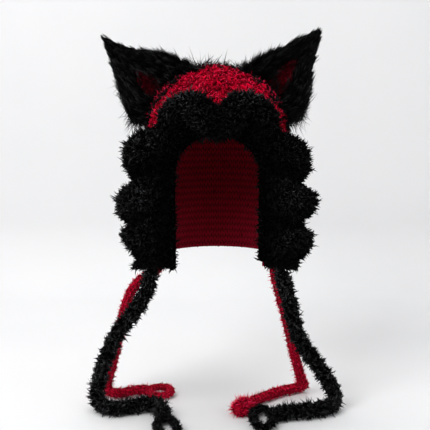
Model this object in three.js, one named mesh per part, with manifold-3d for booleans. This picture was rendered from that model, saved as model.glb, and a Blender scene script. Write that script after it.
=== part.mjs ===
// Animal hood scarf: a knitted hood with two tall fur ears, a plush frill gathered round
// the face opening, and four soft ties that hang from its lower front corners.
// Millimetres, +Z up, +X to the viewer's right, the face opening towards -Y.
// The origin is the inside of the crown's top, where the hood sits on a head.
import * as THREE from "three";
import { mergeVertices } from "three/addons/utils/BufferGeometryUtils.js";
import Module from "manifold-3d";

const wasm = await Module();
wasm.setup();

// Driving dimensions
const seam = 0.3; // gap between two pieces that touch

const hood = {
  wall: 8, // bobbly knitted wall
  halfWidth: 114, // outside, at the widest line
  frontDepth: 112,
  backDepth: 126,
  domeHeight: 108, // widest line up to the outside of the top
  skirtLength: 205, // widest line down to the hem
  sides: 36, // facets round a section
  domeRows: 6,
  skirtRows: 5,
};

const faceOpening = {
  halfWidth: 72,
  archHeight: 72, // the round top of the opening
  topDrop: 86, // origin down to the top of the arch
};

const frill = {
  width: 84, // rim to free edge where it lies flat
  thickness: 13,
  root: 4, // cloth let into the hood before the seam is cut
  tuft: 2.5, // saw-tooth of the plush edge
  sagging: 0.6, // share of its width over which the folds sag
  rows: 100, // along the rim
  columns: 5, // from rim to free edge
};

const earForm = {
  thickness: 15, // backing and pile
  cup: 32, // depth of the hollow front at the base
  baseFront: 26, // how far in front of the centre plane the base's corners sit
  tipFront: 20,
  sink: 8, // base let into the hood before the seam is cut
  tipWidth: 5,
  across: 12,
  along: 12,
};

const earLining = { thickness: 2, lift: 0.4, from: 1, to: 6, side: 3 }; // rows and columns of the ear's grid

const lock = {
  radius: 8,
  length: 30,
  sides: 5,
  count: 9, // along each edge
  spacing: 0.085, // as a share of the ear's height
  sunk: 0.3, // share of its length beyond the edge
};

const blackTie = { diameter: 24, sides: 10, steps: 28 };
const redTie = { diameter: 16, sides: 8, steps: 30 };
const blackLoop = { tube: 16, halfWidth: 15, halfLength: 39 };
const redLoop = { tube: 12, halfWidth: 19, halfLength: 21 };
const loopMesh = { sides: 8, steps: 26 };
const redEnd = { radius: 11, halfLength: 20, turn: 60 }; // thick fuzzy end, degrees off the X axis

const floorZ = -546; // height of the surface that the ties' ends lie on

// Sections of the hood below its widest line, as shares of the skirt's length,
// the half width and the two depths.
const skirtSections = [
  { down: 0.0, width: 1.0, front: 1.0, back: 1.0 },
  { down: 0.3, width: 0.985, front: 0.95, back: 0.97 },
  { down: 0.65, width: 0.93, front: 0.87, back: 0.84 },
  { down: 1.0, width: 0.95, front: 0.84, back: 0.76 },
];

// The frill's lobes and folds, from the left lower corner over the top to the right one.
// along is a share of the rim, the others are shares of the frill's width: out is away
// from the face, front is towards the viewer, swell moves its middle outwards, and rise
// is how far the cloth leaves the hood square on before it turns out. sag is a share of the
// rim: how much further along it a fold starts at the rim than it ends at the free edge.
const frillFolds = [
  { along: 0, out: 0.64, front: 0.1, swell: 0.05, rise: 0.3, sag: 0 },
  { along: 0.03, out: 0.6, front: 0.1, swell: 0.05, rise: 0.25, sag: 0.01 },
  { along: 0.066, out: 0.78, front: 0.1, swell: 0.05, rise: 0.45, sag: 0.025 },
  { along: 0.1, out: 0.88, front: 0.06, swell: 0.05, rise: 0.48, sag: 0.04 },
  { along: 0.13, out: 0.74, front: 0.08, swell: 0, rise: 0.12, sag: 0.047 },
  { along: 0.162, out: 0.93, front: 0.04, swell: 0.05, rise: 0.5, sag: 0.047 },
  { along: 0.222, out: 0.93, front: 0, swell: 0.05, rise: 0.5, sag: 0.047 },
  { along: 0.271, out: 0.62, front: 0.08, swell: 0, rise: 0.08, sag: 0.047 },
  { along: 0.304, out: 0.84, front: 0, swell: 0.05, rise: 0.5, sag: 0.047 },
  { along: 0.344, out: 0.8, front: 0.04, swell: 0.08, rise: 0.5, sag: 0.047 },
  { along: 0.378, out: 0.5, front: 0.1, swell: 0.05, rise: 0.2, sag: 0.03 },
  { along: 0.405, out: 0.66, front: 0.18, swell: 0.1, rise: 0.45, sag: 0.01 },
  { along: 0.435, out: 0.74, front: 0.34, swell: 0.06, rise: 0, sag: 0 },
  { along: 0.462, out: 0.7, front: 0.26, swell: -0.36, rise: 0.42, sag: 0 },
  { along: 0.482, out: 0.56, front: 0.2, swell: -0.6, rise: 0.56, sag: 0 },
  { along: 0.5, out: 0.38, front: 0.16, swell: -0.62, rise: 0.58, sag: 0 },
  { along: 0.518, out: 0.56, front: 0.2, swell: -0.6, rise: 0.56, sag: 0 },
  { along: 0.538, out: 0.7, front: 0.26, swell: -0.36, rise: 0.42, sag: 0 },
  { along: 0.568, out: 0.74, front: 0.34, swell: 0.06, rise: 0, sag: 0 },
  { along: 0.598, out: 0.68, front: 0.18, swell: 0.1, rise: 0.45, sag: -0.01 },
  { along: 0.63, out: 0.5, front: 0.1, swell: 0.05, rise: 0.2, sag: -0.025 },
  { along: 0.668, out: 0.78, front: 0.04, swell: 0.08, rise: 0.5, sag: -0.045 },
  { along: 0.71, out: 0.78, front: 0, swell: 0.05, rise: 0.5, sag: -0.047 },
  { along: 0.741, out: 0.6, front: 0.08, swell: 0, rise: 0.08, sag: -0.047 },
  { along: 0.776, out: 0.9, front: 0, swell: 0.05, rise: 0.5, sag: -0.035 },
  { along: 0.826, out: 0.89, front: 0.04, swell: 0.05, rise: 0.5, sag: -0.01 },
  { along: 0.862, out: 0.66, front: 0.08, swell: 0, rise: 0.12, sag: 0 },
  { along: 0.898, out: 0.87, front: 0.06, swell: 0.05, rise: 0.48, sag: 0.01 },
  { along: 0.948, out: 0.8, front: 0.1, swell: 0.05, rise: 0.35, sag: 0.01 },
  { along: 0.98, out: 0.62, front: 0.1, swell: 0.05, rise: 0.25, sag: 0 },
  { along: 1, out: 0.56, front: 0.1, swell: 0.05, rise: 0.25, sag: 0 },
];

// The ears: base corners as degrees round the crown from straight up, the tip from the
// centre plane and above the origin.
const ears = [
  { name: "left", side: -1, innerCorner: 16, outerCorner: 80, tipOut: 176, tipUp: 51, outline: "broad" },
  { name: "right", side: 1, innerCorner: 20, outerCorner: 80, tipOut: 161, tipUp: 63, outline: "slim" },
];

// How far an ear's two edges bow out from straight lines, as shares of its height.
const earOutlines = {
  broad: [
    { up: 0.0, outer: 0.0, inner: 0.0 },
    { up: 0.13, outer: 0.15, inner: 0.04 },
    { up: 0.4, outer: 0.13, inner: 0.055 },
    { up: 0.62, outer: 0.08, inner: 0.0 },
    { up: 0.82, outer: 0.035, inner: -0.04 },
    { up: 1.0, outer: 0.0, inner: 0.0 },
  ],
  slim: [
    { up: 0.0, outer: 0.0, inner: 0.0 },
    { up: 0.13, outer: 0.14, inner: 0.02 },
    { up: 0.4, outer: 0.12, inner: 0.03 },
    { up: 0.62, outer: 0.06, inner: 0.02 },
    { up: 0.82, outer: 0.03, inner: 0.01 },
    { up: 1.0, outer: 0.0, inner: 0.0 },
  ],
};

// Centre lines of the ties, from the hood down to their ends on the surface.
const tieRoutes = {
  black_left: [
    [-105, -84, -294], [-105, -84, -314], [-110, -83, -336], [-119, -81, -357], [-134, -79, -379],
    [-150, -77, -399], [-163, -76, -419], [-173, -75, -440], [-183, -72, -465], [-190, -68, -490], [-195, -63, -512],
    [-197, -62, -527], [-192, -68, -534], [-180, -82, -534], [-164, -88, -534], [-147, -83, -534],
    [-130, -76, -534], [-113, -71, -534], [-100, -74, -534], [-91, -88, -534], [-86, -104, -535],
    [-84, -114, -536],
  ],
  black_right: [
    [102, -86, -294], [102, -85, -314], [108, -77, -337], [116, -70, -361], [121, -67, -387],
    [127, -67, -410], [135, -68, -430], [146, -69, -447], [159, -69, -463], [171, -68, -481],
    [182, -65, -500], [191, -61, -518], [193, -64, -530], [187, -75, -534], [173, -88, -534],
    [154, -96, -534], [132, -101, -534], [111, -106, -534], [92, -112, -535],
  ],
  red_left: [
    [-94, -44, -292], [-95, -44, -312], [-110, -46, -324], [-128, -46, -336], [-140, -42, -354],
    [-149, -38, -377], [-156, -34, -400], [-162, -30, -425], [-167, -26, -450], [-173, -20, -475],
    [-180, -12, -500], [-186, -4, -522], [-187, 0, -534], [-182, -6, -538], [-172, -11, -538],
    [-158, -10, -538], [-145, -2, -538], [-131, 3, -538], [-116, 2, -539],
  ],
  red_right: [
    [92, -46, -292], [92, -46, -312], [96, -48, -334], [103, -46, -360], [112, -41, -392],
    [119, -36, -421], [125, -29, -449], [132, -20, -477], [139, -9, -502], [146, 4, -524],
    [149, 14, -534], [145, 18, -538], [133, 10, -538], [118, 2, -538], [102, -8, -538],
    [84, -24, -538], [66, -42, -538], [54, -58, -537], [47, -70, -536],
  ],
};
const loopSpots = {
  black_left: { x: -77, y: -158, turn: 11 },
  black_right: { x: 72, y: -118, turn: 0 },
  red_left: { x: -97, y: 1, turn: 0 },
};
const redEndSpot = { x: 41, y: -82 };

// Places that follow from the sizes above
const widestZ = hood.wall - hood.domeHeight;
const hemZ = widestZ - hood.skirtLength;
const archTopZ = -faceOpening.topDrop;
const archFootZ = archTopZ - faceOpening.archHeight;

const materials = {
  redYarn: new THREE.MeshStandardMaterial({ color: 0xb5042b, roughness: 0.95, metalness: 0 }),
  redLining: new THREE.MeshStandardMaterial({ color: 0x5e0715, roughness: 0.95, metalness: 0 }),
  blackPlush: new THREE.MeshStandardMaterial({ color: 0x111112, roughness: 1, metalness: 0 }),
  blackFur: new THREE.MeshStandardMaterial({ color: 0x0c0c0e, roughness: 0.8, metalness: 0 }),
};

// Reads one column of a table at a place between its rows, by cubic Hermite pieces.
function read(rows, by, column, at) {
  const last = rows.length - 1;
  let i = 0;
  while (i < last - 1 && at > rows[i + 1][by]) i += 1;
  const slope = (k) => {
    const before = rows[Math.max(k - 1, 0)];
    const after = rows[Math.min(k + 1, last)];
    return (after[column] - before[column]) / (after[by] - before[by]);
  };
  const span = rows[i + 1][by] - rows[i][by];
  const t = THREE.MathUtils.clamp((at - rows[i][by]) / span, 0, 1);
  const rise = t * t * (3 - 2 * t);
  return rows[i][column] * (1 - rise) + rows[i + 1][column] * rise
    + span * (t * (1 - t) ** 2 * slope(i) - t * t * (1 - t) * slope(i + 1));
}

function toSolid(geometry) {
  const bare = geometry.clone();
  bare.deleteAttribute("normal");
  bare.deleteAttribute("uv");
  const merged = mergeVertices(bare, 1e-3);
  return new wasm.Manifold(new wasm.Mesh({
    numProp: 3,
    vertProperties: new Float32Array(merged.attributes.position.array),
    triVerts: new Uint32Array(merged.index.array),
  }));
}

function toGeometry(solid) {
  const mesh = solid.getMesh();
  const geometry = new THREE.BufferGeometry();
  geometry.setAttribute("position", new THREE.BufferAttribute(new Float32Array(mesh.vertProperties), 3));
  geometry.setIndex(new THREE.BufferAttribute(new Uint32Array(mesh.triVerts), 1));
  geometry.computeVertexNormals();
  return geometry;
}

// The largest body of a solid, without the slivers that a cut leaves beside it.
function mainBody(solid) {
  const bodies = solid.decompose();
  return bodies.reduce((best, body) => (body.volume() > best.volume() ? body : best));
}

function closedGeometry(points, faces) {
  const geometry = new THREE.BufferGeometry();
  geometry.setAttribute("position", new THREE.Float32BufferAttribute(points.flatMap((p) => p.toArray()), 3));
  let volume = 0;
  for (const [a, b, c] of faces) volume += points[a].dot(points[b].clone().cross(points[c]));
  geometry.setIndex(faces.flatMap(([a, b, c]) => (volume > 0 ? [a, b, c] : [a, c, b])));
  return geometry;
}

// A closed skin through rings of as many points each, with a point at each end.
function ringsGeometry(rings, firstEnd, lastEnd) {
  const sides = rings[0].length;
  const points = [firstEnd, ...rings.flat(), lastEnd];
  const faces = [];
  rings.forEach((ring, row) => {
    for (let k = 0; k < sides; k += 1) {
      const here = 1 + row * sides + k;
      const beside = 1 + row * sides + ((k + 1) % sides);
      if (row === 0) faces.push([0, here, beside]);
      if (row === rings.length - 1) {
        faces.push([points.length - 1, beside, here]);
      } else {
        faces.push([here, here + sides, beside], [beside, here + sides, beside + sides]);
      }
    }
  });
  return closedGeometry(points, faces);
}

// A sheet of some thickness: surface(s, t) is its middle, both run from 0 to 1.
// lift moves the middle along its normal.
function sheetGeometry(surface, rows, columns, thickness, lift = () => 0) {
  const step = 1e-3;
  const points = [];
  const faces = [];
  for (let i = 0; i <= rows; i += 1) {
    for (let j = 0; j <= columns; j += 1) {
      const s = i / rows;
      const t = j / columns;
      const alongS = surface(s + step, t).sub(surface(s - step, t));
      const alongT = surface(s, t + step).sub(surface(s, t - step));
      const normal = alongS.cross(alongT).normalize();
      const half = thickness(s, t) / 2;
      const middle = surface(s, t).addScaledVector(normal, lift(s, t));
      points.push(middle.clone().addScaledVector(normal, half), middle.clone().addScaledVector(normal, -half));
    }
  }
  const upper = (i, j) => 2 * (i * (columns + 1) + j);
  const lower = (i, j) => upper(i, j) + 1;
  const quad = (a, b, c, d) => faces.push([a, b, c], [a, c, d]);
  for (let i = 0; i < rows; i += 1) {
    for (let j = 0; j < columns; j += 1) {
      quad(upper(i, j), upper(i + 1, j), upper(i + 1, j + 1), upper(i, j + 1));
      quad(lower(i, j), lower(i, j + 1), lower(i + 1, j + 1), lower(i + 1, j));
    }
    quad(upper(i, 0), lower(i, 0), lower(i + 1, 0), upper(i + 1, 0));
    quad(upper(i, columns), upper(i + 1, columns), lower(i + 1, columns), lower(i, columns));
  }
  for (let j = 0; j < columns; j += 1) {
    quad(upper(0, j), upper(0, j + 1), lower(0, j + 1), lower(0, j));
    quad(upper(rows, j), lower(rows, j), lower(rows, j + 1), upper(rows, j + 1));
  }
  return closedGeometry(points, faces);
}

// Hood: half width and depths of its section at a height, grown outwards by some amount.
function hoodSection(z, grow = 0) {
  if (z >= widestZ) {
    const share = Math.min((z - widestZ) / (hood.domeHeight + grow), 1);
    const shrink = Math.sqrt(1 - share * share);
    return {
      width: (hood.halfWidth + grow) * shrink,
      front: (hood.frontDepth + grow) * shrink,
      back: (hood.backDepth + grow) * shrink,
    };
  }
  const down = (widestZ - z) / hood.skirtLength;
  return {
    width: hood.halfWidth * read(skirtSections, "down", "width", down) + grow,
    front: hood.frontDepth * read(skirtSections, "down", "front", down) + grow,
    back: hood.backDepth * read(skirtSections, "down", "back", down) + grow,
  };
}

function hoodRing(z, grow) {
  const section = hoodSection(z, grow);
  return Array.from({ length: hood.sides }, (_, k) => {
    const angle = (2 * Math.PI * k) / hood.sides;
    const depth = Math.cos(angle) > 0 ? section.front : section.back;
    return new THREE.Vector3(section.width * Math.sin(angle), -depth * Math.cos(angle), z);
  });
}

// The hood's full form without its hollow; below is how far it runs on past the hem.
function hoodForm(grow, below) {
  const rings = [];
  for (let row = hood.domeRows; row >= 1; row -= 1) {
    const angle = (row / (hood.domeRows + 1)) * (Math.PI / 2);
    rings.push(hoodRing(widestZ + (hood.domeHeight + grow) * Math.sin(angle), grow));
  }
  for (let row = 0; row <= hood.skirtRows; row += 1) {
    rings.push(hoodRing(widestZ - (hood.skirtLength * row) / hood.skirtRows, grow));
  }
  if (below > 0) rings.push(hoodRing(hemZ, grow).map((p) => p.setZ(hemZ - below)));
  const top = new THREE.Vector3(0, 0, widestZ + hood.domeHeight + grow);
  return toSolid(ringsGeometry(rings, top, new THREE.Vector3(0, 0, hemZ - below)));
}

function archForm() {
  const reach = 2 * hood.frontDepth;
  const outline = new THREE.Shape();
  outline.moveTo(-faceOpening.halfWidth, hemZ - hood.wall);
  outline.lineTo(faceOpening.halfWidth, hemZ - hood.wall);
  outline.lineTo(faceOpening.halfWidth, archFootZ);
  outline.absellipse(0, archFootZ, faceOpening.halfWidth, faceOpening.archHeight, 0, Math.PI, false, 0);
  outline.closePath();
  const prism = new THREE.ExtrudeGeometry(outline, { depth: reach, bevelEnabled: false, curveSegments: 18 });
  prism.rotateX(Math.PI / 2);
  return toSolid(prism);
}

function crownGeometry() {
  const hollow = hoodForm(-hood.wall, hood.wall);
  return toGeometry(mainBody(hoodForm(0, 0).subtract(hollow).subtract(archForm())));
}

// Rim of the face opening: its place and the way out from the face, by share of its length.
function rimAt(share) {
  const straight = archFootZ - hemZ;
  const arch = new THREE.EllipseCurve(0, archFootZ, faceOpening.halfWidth, faceOpening.archHeight, Math.PI, 0, true);
  const archLength = arch.getLength();
  const total = 2 * straight + archLength;
  const run = share * total;
  const place = new THREE.Vector2();
  const way = new THREE.Vector2();
  if (run < straight) {
    place.set(-faceOpening.halfWidth, hemZ + run);
    way.set(-1, 0);
  } else if (run > straight + archLength) {
    place.set(faceOpening.halfWidth, hemZ + total - run);
    way.set(1, 0);
  } else {
    const turn = Math.PI * (1 - (run - straight) / archLength);
    place.set(faceOpening.halfWidth * Math.cos(turn), archFootZ + faceOpening.archHeight * Math.sin(turn));
    way.set(Math.cos(turn) / faceOpening.halfWidth, Math.sin(turn) / faceOpening.archHeight).normalize();
  }
  place.addScaledVector(way, frill.thickness / 2);
  return { place, way };
}

function hoodFront(x, z) {
  const section = hoodSection(z);
  return -section.front * Math.sqrt(Math.max(1 - (x / section.width) ** 2, 0));
}

// Middle of the frill: a curve of three points from the rim square off the hood to the
// free edge, whose place the table of folds gives.
function frillPoint(s, t) {
  const { place, way } = rimAt(s);
  const root = new THREE.Vector3(place.x, hoodFront(place.x, place.y), place.y);
  const slopeX = (hoodFront(place.x + 1, place.y) - hoodFront(place.x - 1, place.y)) / 2;
  const slopeZ = (hoodFront(place.x, place.y + 1) - hoodFront(place.x, place.y - 1)) / 2;
  const square = new THREE.Vector3(slopeX, -1, slopeZ).normalize();
  const along = THREE.MathUtils.clamp(s, 0, 1);
  const sag = read(frillFolds, "along", "sag", along) * THREE.MathUtils.clamp((1 - t) / frill.sagging, 0, 1);
  const at = THREE.MathUtils.clamp(along - sag, 0, 1);
  const out = frill.width * read(frillFolds, "along", "out", at);
  const front = frill.width * read(frillFolds, "along", "front", at);
  const swell = frill.width * read(frillFolds, "along", "swell", at);
  const rise = frill.width * read(frillFolds, "along", "rise", at);
  const edge = root.clone().add(new THREE.Vector3(way.x * out, -front, way.y * out));
  const middle = root.clone().addScaledVector(square, rise);
  middle.add(new THREE.Vector3(way.x * swell, 0, way.y * swell));
  root.addScaledVector(square, -frill.root);
  const tooth = t > 0.99 ? frill.tuft * Math.cos(Math.PI * s * frill.rows) : 0;
  const point = root.multiplyScalar((1 - t) ** 2);
  point.addScaledVector(middle, 2 * t * (1 - t));
  point.addScaledVector(edge, t * t);
  return point.addScaledVector(edge.clone().sub(middle).normalize(), tooth);
}

function frillGeometry() {
  const sheet = toSolid(sheetGeometry(frillPoint, frill.rows, frill.columns, () => frill.thickness));
  const under = new THREE.BoxGeometry(6 * hood.halfWidth, 6 * hood.frontDepth, frill.width);
  under.translate(0, 0, hemZ - frill.width / 2);
  return toGeometry(mainBody(sheet.subtract(hoodForm(seam, 2 * hood.wall)).subtract(toSolid(under))));
}

// Middle of an ear: s runs up from the base to the tip, t from the inner edge to the outer.
function earPoint(ear, s, t) {
  const angle = THREE.MathUtils.degToRad(THREE.MathUtils.lerp(ear.innerCorner, ear.outerCorner, t));
  const across = 2 * t - 1;
  const up = Math.min(s, 1);
  const hollow = earForm.cup * (1 - across * across);
  const baseY = -earForm.baseFront + hollow;
  const depth = baseY < 0 ? hood.frontDepth : hood.backDepth;
  const shrink = Math.sqrt(1 - (baseY / depth) ** 2);
  const onBase = (a) => new THREE.Vector3(
    ear.side * (hood.halfWidth - earForm.sink) * shrink * Math.sin(a), baseY,
    widestZ + (hood.domeHeight - earForm.sink) * shrink * Math.cos(a));
  const tip = new THREE.Vector3(ear.side * ear.tipOut, -earForm.tipFront, ear.tipUp);
  const rows = earOutlines[ear.outline];
  const base = onBase(angle);
  const corner = onBase(THREE.MathUtils.degToRad(across > 0 ? ear.outerCorner : ear.innerCorner));
  const edge = tip.clone().sub(corner);
  const height = edge.length();
  const bow = height * across * across * read(rows, "up", across > 0 ? "outer" : "inner", up);
  const turn = across > 0 ? 1 : -1;
  const away = new THREE.Vector3(ear.side * turn * edge.z, 0, -turn * Math.abs(edge.x)).normalize();
  const point = base.lerp(tip, up);
  point.addScaledVector(away, bow + (up * earForm.tipWidth * Math.abs(across)) / 2);
  return point;
}

function earThickness(s) {
  return earForm.thickness * (1 - 0.7 * s);
}

// Fur locks stand off an ear's two edges, leaning towards its tip.
function earLocks(ear) {
  const places = [];
  for (let k = 0; k < lock.count; k += 1) {
    places.push({ s: 0.1 + lock.spacing * k, t: 0.02, lean: 0.9, grow: k % 2 ? 0.8 : 1.1 });
    places.push({ s: 0.14 + lock.spacing * k, t: 0.98, lean: k < 1 ? 0.1 : 0.7, grow: k % 2 ? 0.75 : 1 });
  }
  return places.map(({ s, t, lean, grow }) => {
    const here = earPoint(ear, s, t);
    const upWay = earPoint(ear, s + 0.02, t).sub(here).normalize();
    const outWay = here.clone().sub(earPoint(ear, s, 0.5)).normalize();
    const way = outWay.addScaledVector(upWay, lean).normalize();
    const size = grow * (1 - 0.55 * s);
    const cone = new THREE.ConeGeometry(lock.radius * size, lock.length * size, lock.sides, 1);
    cone.translate(0, lock.sunk * lock.length * size, 0);
    cone.applyQuaternion(new THREE.Quaternion().setFromUnitVectors(new THREE.Vector3(0, 1, 0), way));
    cone.translate(here.x, here.y, here.z);
    return toSolid(cone);
  });
}

function earGeometry(ear) {
  const surface = (s, t) => earPoint(ear, s, t);
  const sheet = toSolid(sheetGeometry(surface, earForm.along, earForm.across, earThickness));
  const furred = earLocks(ear).reduce((body, cone) => body.add(cone), sheet);
  return toGeometry(mainBody(furred.subtract(hoodForm(seam, 0))));
}

// The lining is a patch of the ear's own grid, a hair in front of its hollow side.
function liningGeometry(ear) {
  const firstRow = earLining.from;
  const rows = earLining.to - firstRow;
  const firstColumn = earLining.side;
  const columns = earForm.across - 2 * firstColumn;
  const toEar = (s, t) => [
    (firstRow + s * rows) / earForm.along,
    (firstColumn + t * columns) / earForm.across,
  ];
  const surface = (s, t) => earPoint(ear, ...toEar(s, t));
  const lift = (s) => -ear.side * (earThickness(toEar(s, 0)[0]) / 2 + earLining.lift + earLining.thickness / 2);
  const patch = toSolid(sheetGeometry(surface, rows, columns, () => earLining.thickness, lift));
  return toGeometry(mainBody(patch.subtract(hoodForm(seam, 0))));
}

function roundSection(radius, sides) {
  const corners = Array.from({ length: sides }, (_, k) => {
    const angle = (2 * Math.PI * k) / sides;
    return new THREE.Vector2(radius * Math.cos(angle), radius * Math.sin(angle));
  });
  return new THREE.Shape(corners);
}

// A tie along its route, cut level where it starts under the hood.
function tieForm(route, { diameter, sides, steps }, startZ) {
  const path = new THREE.CatmullRomCurve3(route.map((p) => new THREE.Vector3(...p)), false, "centripetal");
  const tube = new THREE.ExtrudeGeometry(roundSection(diameter / 2, sides),
    { steps, bevelEnabled: false, extrudePath: path });
  const above = new THREE.BoxGeometry(8 * diameter, 8 * diameter, 4 * diameter);
  above.translate(route[0][0], route[0][1], startZ + 2 * diameter);
  return toSolid(tube).subtract(toSolid(above));
}

// A closed loop of cord lying on the surface; grow thickens its tube.
function loopForm(spot, { tube, halfWidth, halfLength }, grow = 0) {
  const turn = THREE.MathUtils.degToRad(spot.turn);
  const corners = Array.from({ length: 8 }, (_, k) => {
    const angle = (2 * Math.PI * k) / 8;
    const across = halfWidth * Math.cos(angle);
    const along = halfLength * Math.sin(angle);
    return new THREE.Vector3(
      spot.x + across * Math.cos(turn) - along * Math.sin(turn),
      spot.y + across * Math.sin(turn) + along * Math.cos(turn),
      floorZ + tube / 2);
  });
  const path = new THREE.CatmullRomCurve3(corners, true, "centripetal");
  return toSolid(new THREE.TubeGeometry(path, loopMesh.steps, tube / 2 + grow, loopMesh.sides, true));
}

// The red tie's thick end, an egg lying on the surface; grow makes it fatter.
function redEndForm(grow = 0) {
  const egg = new THREE.SphereGeometry(1, 12, 8);
  egg.rotateX(Math.PI / 2);
  egg.scale(redEnd.halfLength + grow, redEnd.radius + grow, redEnd.radius + grow);
  egg.rotateZ(THREE.MathUtils.degToRad(redEnd.turn));
  egg.translate(redEndSpot.x, redEndSpot.y, floorZ + redEnd.radius);
  return toSolid(egg);
}

// The object
const hoodScarf = new THREE.Group();

function addPiece(name, geometry, material) {
  const piece = new THREE.Mesh(geometry, material);
  piece.name = name;
  hoodScarf.add(piece);
}

addPiece("crown", crownGeometry(), materials.redYarn);
addPiece("ruffle", frillGeometry(), materials.blackPlush);
for (const ear of ears) {
  addPiece(`ear_${ear.name}`, earGeometry(ear), materials.blackFur);
  addPiece(`ear_lining_${ear.name}`, liningGeometry(ear), materials.redLining);
}
for (const side of ["left", "right"]) {
  const loop = loopForm(loopSpots[`black_${side}`], blackLoop);
  const room = loopForm(loopSpots[`black_${side}`], blackLoop, seam);
  const tie = tieForm(tieRoutes[`black_${side}`], blackTie, hemZ - seam);
  addPiece(`tie_black_${side}`, toGeometry(mainBody(tie.subtract(room))), materials.blackPlush);
  addPiece(`tie_black_${side}_loop`, toGeometry(loop), materials.blackPlush);
}
const redLeft = tieForm(tieRoutes.red_left, redTie, hemZ - seam)
  .subtract(loopForm(loopSpots.red_left, redLoop, seam));
const redRight = tieForm(tieRoutes.red_right, redTie, hemZ - seam).subtract(redEndForm(seam));
addPiece("tie_red_left", toGeometry(mainBody(redLeft)), materials.redYarn);
addPiece("tie_red_left_loop", toGeometry(loopForm(loopSpots.red_left, redLoop)), materials.redYarn);
addPiece("tie_red_right", toGeometry(mainBody(redRight)), materials.redYarn);
addPiece("tie_red_right_end", toGeometry(redEndForm()), materials.redYarn);

export default hoodScarf;
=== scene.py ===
# Animal hood scarf: the soft, knitted and furry surfaces over its plain solids.
# Shapes are worked out in millimetres and put into the meshes in metres.
import bmesh
import bpy
import math
import numpy as np
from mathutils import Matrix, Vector


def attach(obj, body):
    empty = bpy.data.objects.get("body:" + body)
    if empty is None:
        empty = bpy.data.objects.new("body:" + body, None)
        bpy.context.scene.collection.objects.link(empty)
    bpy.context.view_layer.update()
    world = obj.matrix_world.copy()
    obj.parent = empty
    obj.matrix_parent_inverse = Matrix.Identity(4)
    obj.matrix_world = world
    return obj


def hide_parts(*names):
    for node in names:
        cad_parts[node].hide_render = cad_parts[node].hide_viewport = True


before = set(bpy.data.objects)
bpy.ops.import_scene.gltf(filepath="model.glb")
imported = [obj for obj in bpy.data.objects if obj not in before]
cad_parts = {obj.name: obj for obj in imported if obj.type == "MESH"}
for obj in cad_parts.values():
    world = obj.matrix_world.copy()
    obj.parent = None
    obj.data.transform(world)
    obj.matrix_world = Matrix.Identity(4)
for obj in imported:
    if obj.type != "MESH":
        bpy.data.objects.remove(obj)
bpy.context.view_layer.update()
mm = 0.001
random = np.random.default_rng(41)


def addObject(name, data):
    thing = bpy.data.objects.new(name, data)
    bpy.context.scene.collection.objects.link(thing)
    return thing


# Camera: level with the hood's top, looking down by ten degrees
view = {"target": (-3.3, 0.0, -234.0), "distance": 1500.0, "down": 10.0,
        "lens": 76.1, "sensor": 36.0, "reach": 20.0}  # the reach is in metres


def addCamera():
    down = math.radians(view["down"])
    lens = bpy.data.cameras.new("camera")
    lens.lens, lens.sensor_width, lens.clip_end = view["lens"], view["sensor"], view["reach"]
    camera = addObject("camera", lens)
    x, y, z = view["target"]
    back, up = view["distance"] * math.cos(down), view["distance"] * math.sin(down)
    camera.location = (x * mm, (y - back) * mm, (z + up) * mm)
    camera.rotation_euler = (math.pi / 2 - down, 0, 0)
    bpy.context.scene.camera = camera


addCamera()
print("camera placed")


# Small helpers for curves and grids, all on whole arrays

def unit(v):
    # each vector over its own length
    return v / np.maximum(np.linalg.norm(v, axis=-1, keepdims=True), 1e-9)


def readTable(table, at):
    # smooth curve through the rows of a table: cubic pieces with slopes from the rows on both sides
    table = np.asarray(table, float)
    xs, ys = table[:, 0], table[:, 1:]
    rows = np.arange(len(xs))
    before, after = np.maximum(rows - 1, 0), np.minimum(rows + 1, len(xs) - 1)
    slopes = (ys[after] - ys[before]) / (xs[after] - xs[before])[:, None]
    at = np.clip(at, xs[0], xs[-1])
    i = np.clip(np.searchsorted(xs, at, side="right") - 1, 0, len(xs) - 2)
    span = (xs[i + 1] - xs[i])[..., None]
    t = (at - xs[i])[..., None] / span
    rise = t * t * (3 - 2 * t)
    return (ys[i] * (1 - rise) + ys[i + 1] * rise
            + span * (t * (1 - t) ** 2 * slopes[i] - t * t * (1 - t) * slopes[i + 1]))


def runAlong(points):
    # how far along a row of points each one is
    return np.concatenate([[0], np.cumsum(np.linalg.norm(np.diff(points, axis=0), axis=1))])


def splinePath(corners, step, closed=False):
    # centripetal Catmull-Rom curve through the corners, 24 points between two, cut into even steps
    p = np.asarray(corners, float)
    if closed:
        p = np.vstack([p[-1], p, p[0], p[1]])
    else:
        p = np.vstack([2 * p[0] - p[1], p, 2 * p[-1] - p[-2]])
    p0, p1, p2, p3 = p[:-3], p[1:-2], p[2:-1], p[3:]
    d0, d1, d2 = (np.sqrt(np.linalg.norm(b - a, axis=1))[:, None]
                  for a, b in ((p0, p1), (p1, p2), (p2, p3)))
    m1 = ((p1 - p0) / d0 - (p2 - p0) / (d0 + d1) + (p2 - p1) / d1) * d1
    m2 = ((p2 - p1) / d1 - (p3 - p1) / (d1 + d2) + (p3 - p2) / d2) * d1
    t = (np.arange(24) / 24)[:, None, None]
    curve = ((2 * t ** 3 - 3 * t ** 2 + 1) * p1 + (t ** 3 - 2 * t ** 2 + t) * m1
             + (3 * t ** 2 - 2 * t ** 3) * p2 + (t ** 3 - t ** 2) * m2)
    curve = np.vstack([curve.transpose(1, 0, 2).reshape(-1, 3), p2[-1]])
    run = runAlong(curve)
    count = max(int(round(run[-1] / step)), 3)
    even = np.linspace(0, run[-1], count + 1)
    path = np.stack([np.interp(even, run, curve[:, k]) for k in range(3)], axis=1)
    return path[:-1] if closed else path


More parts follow.
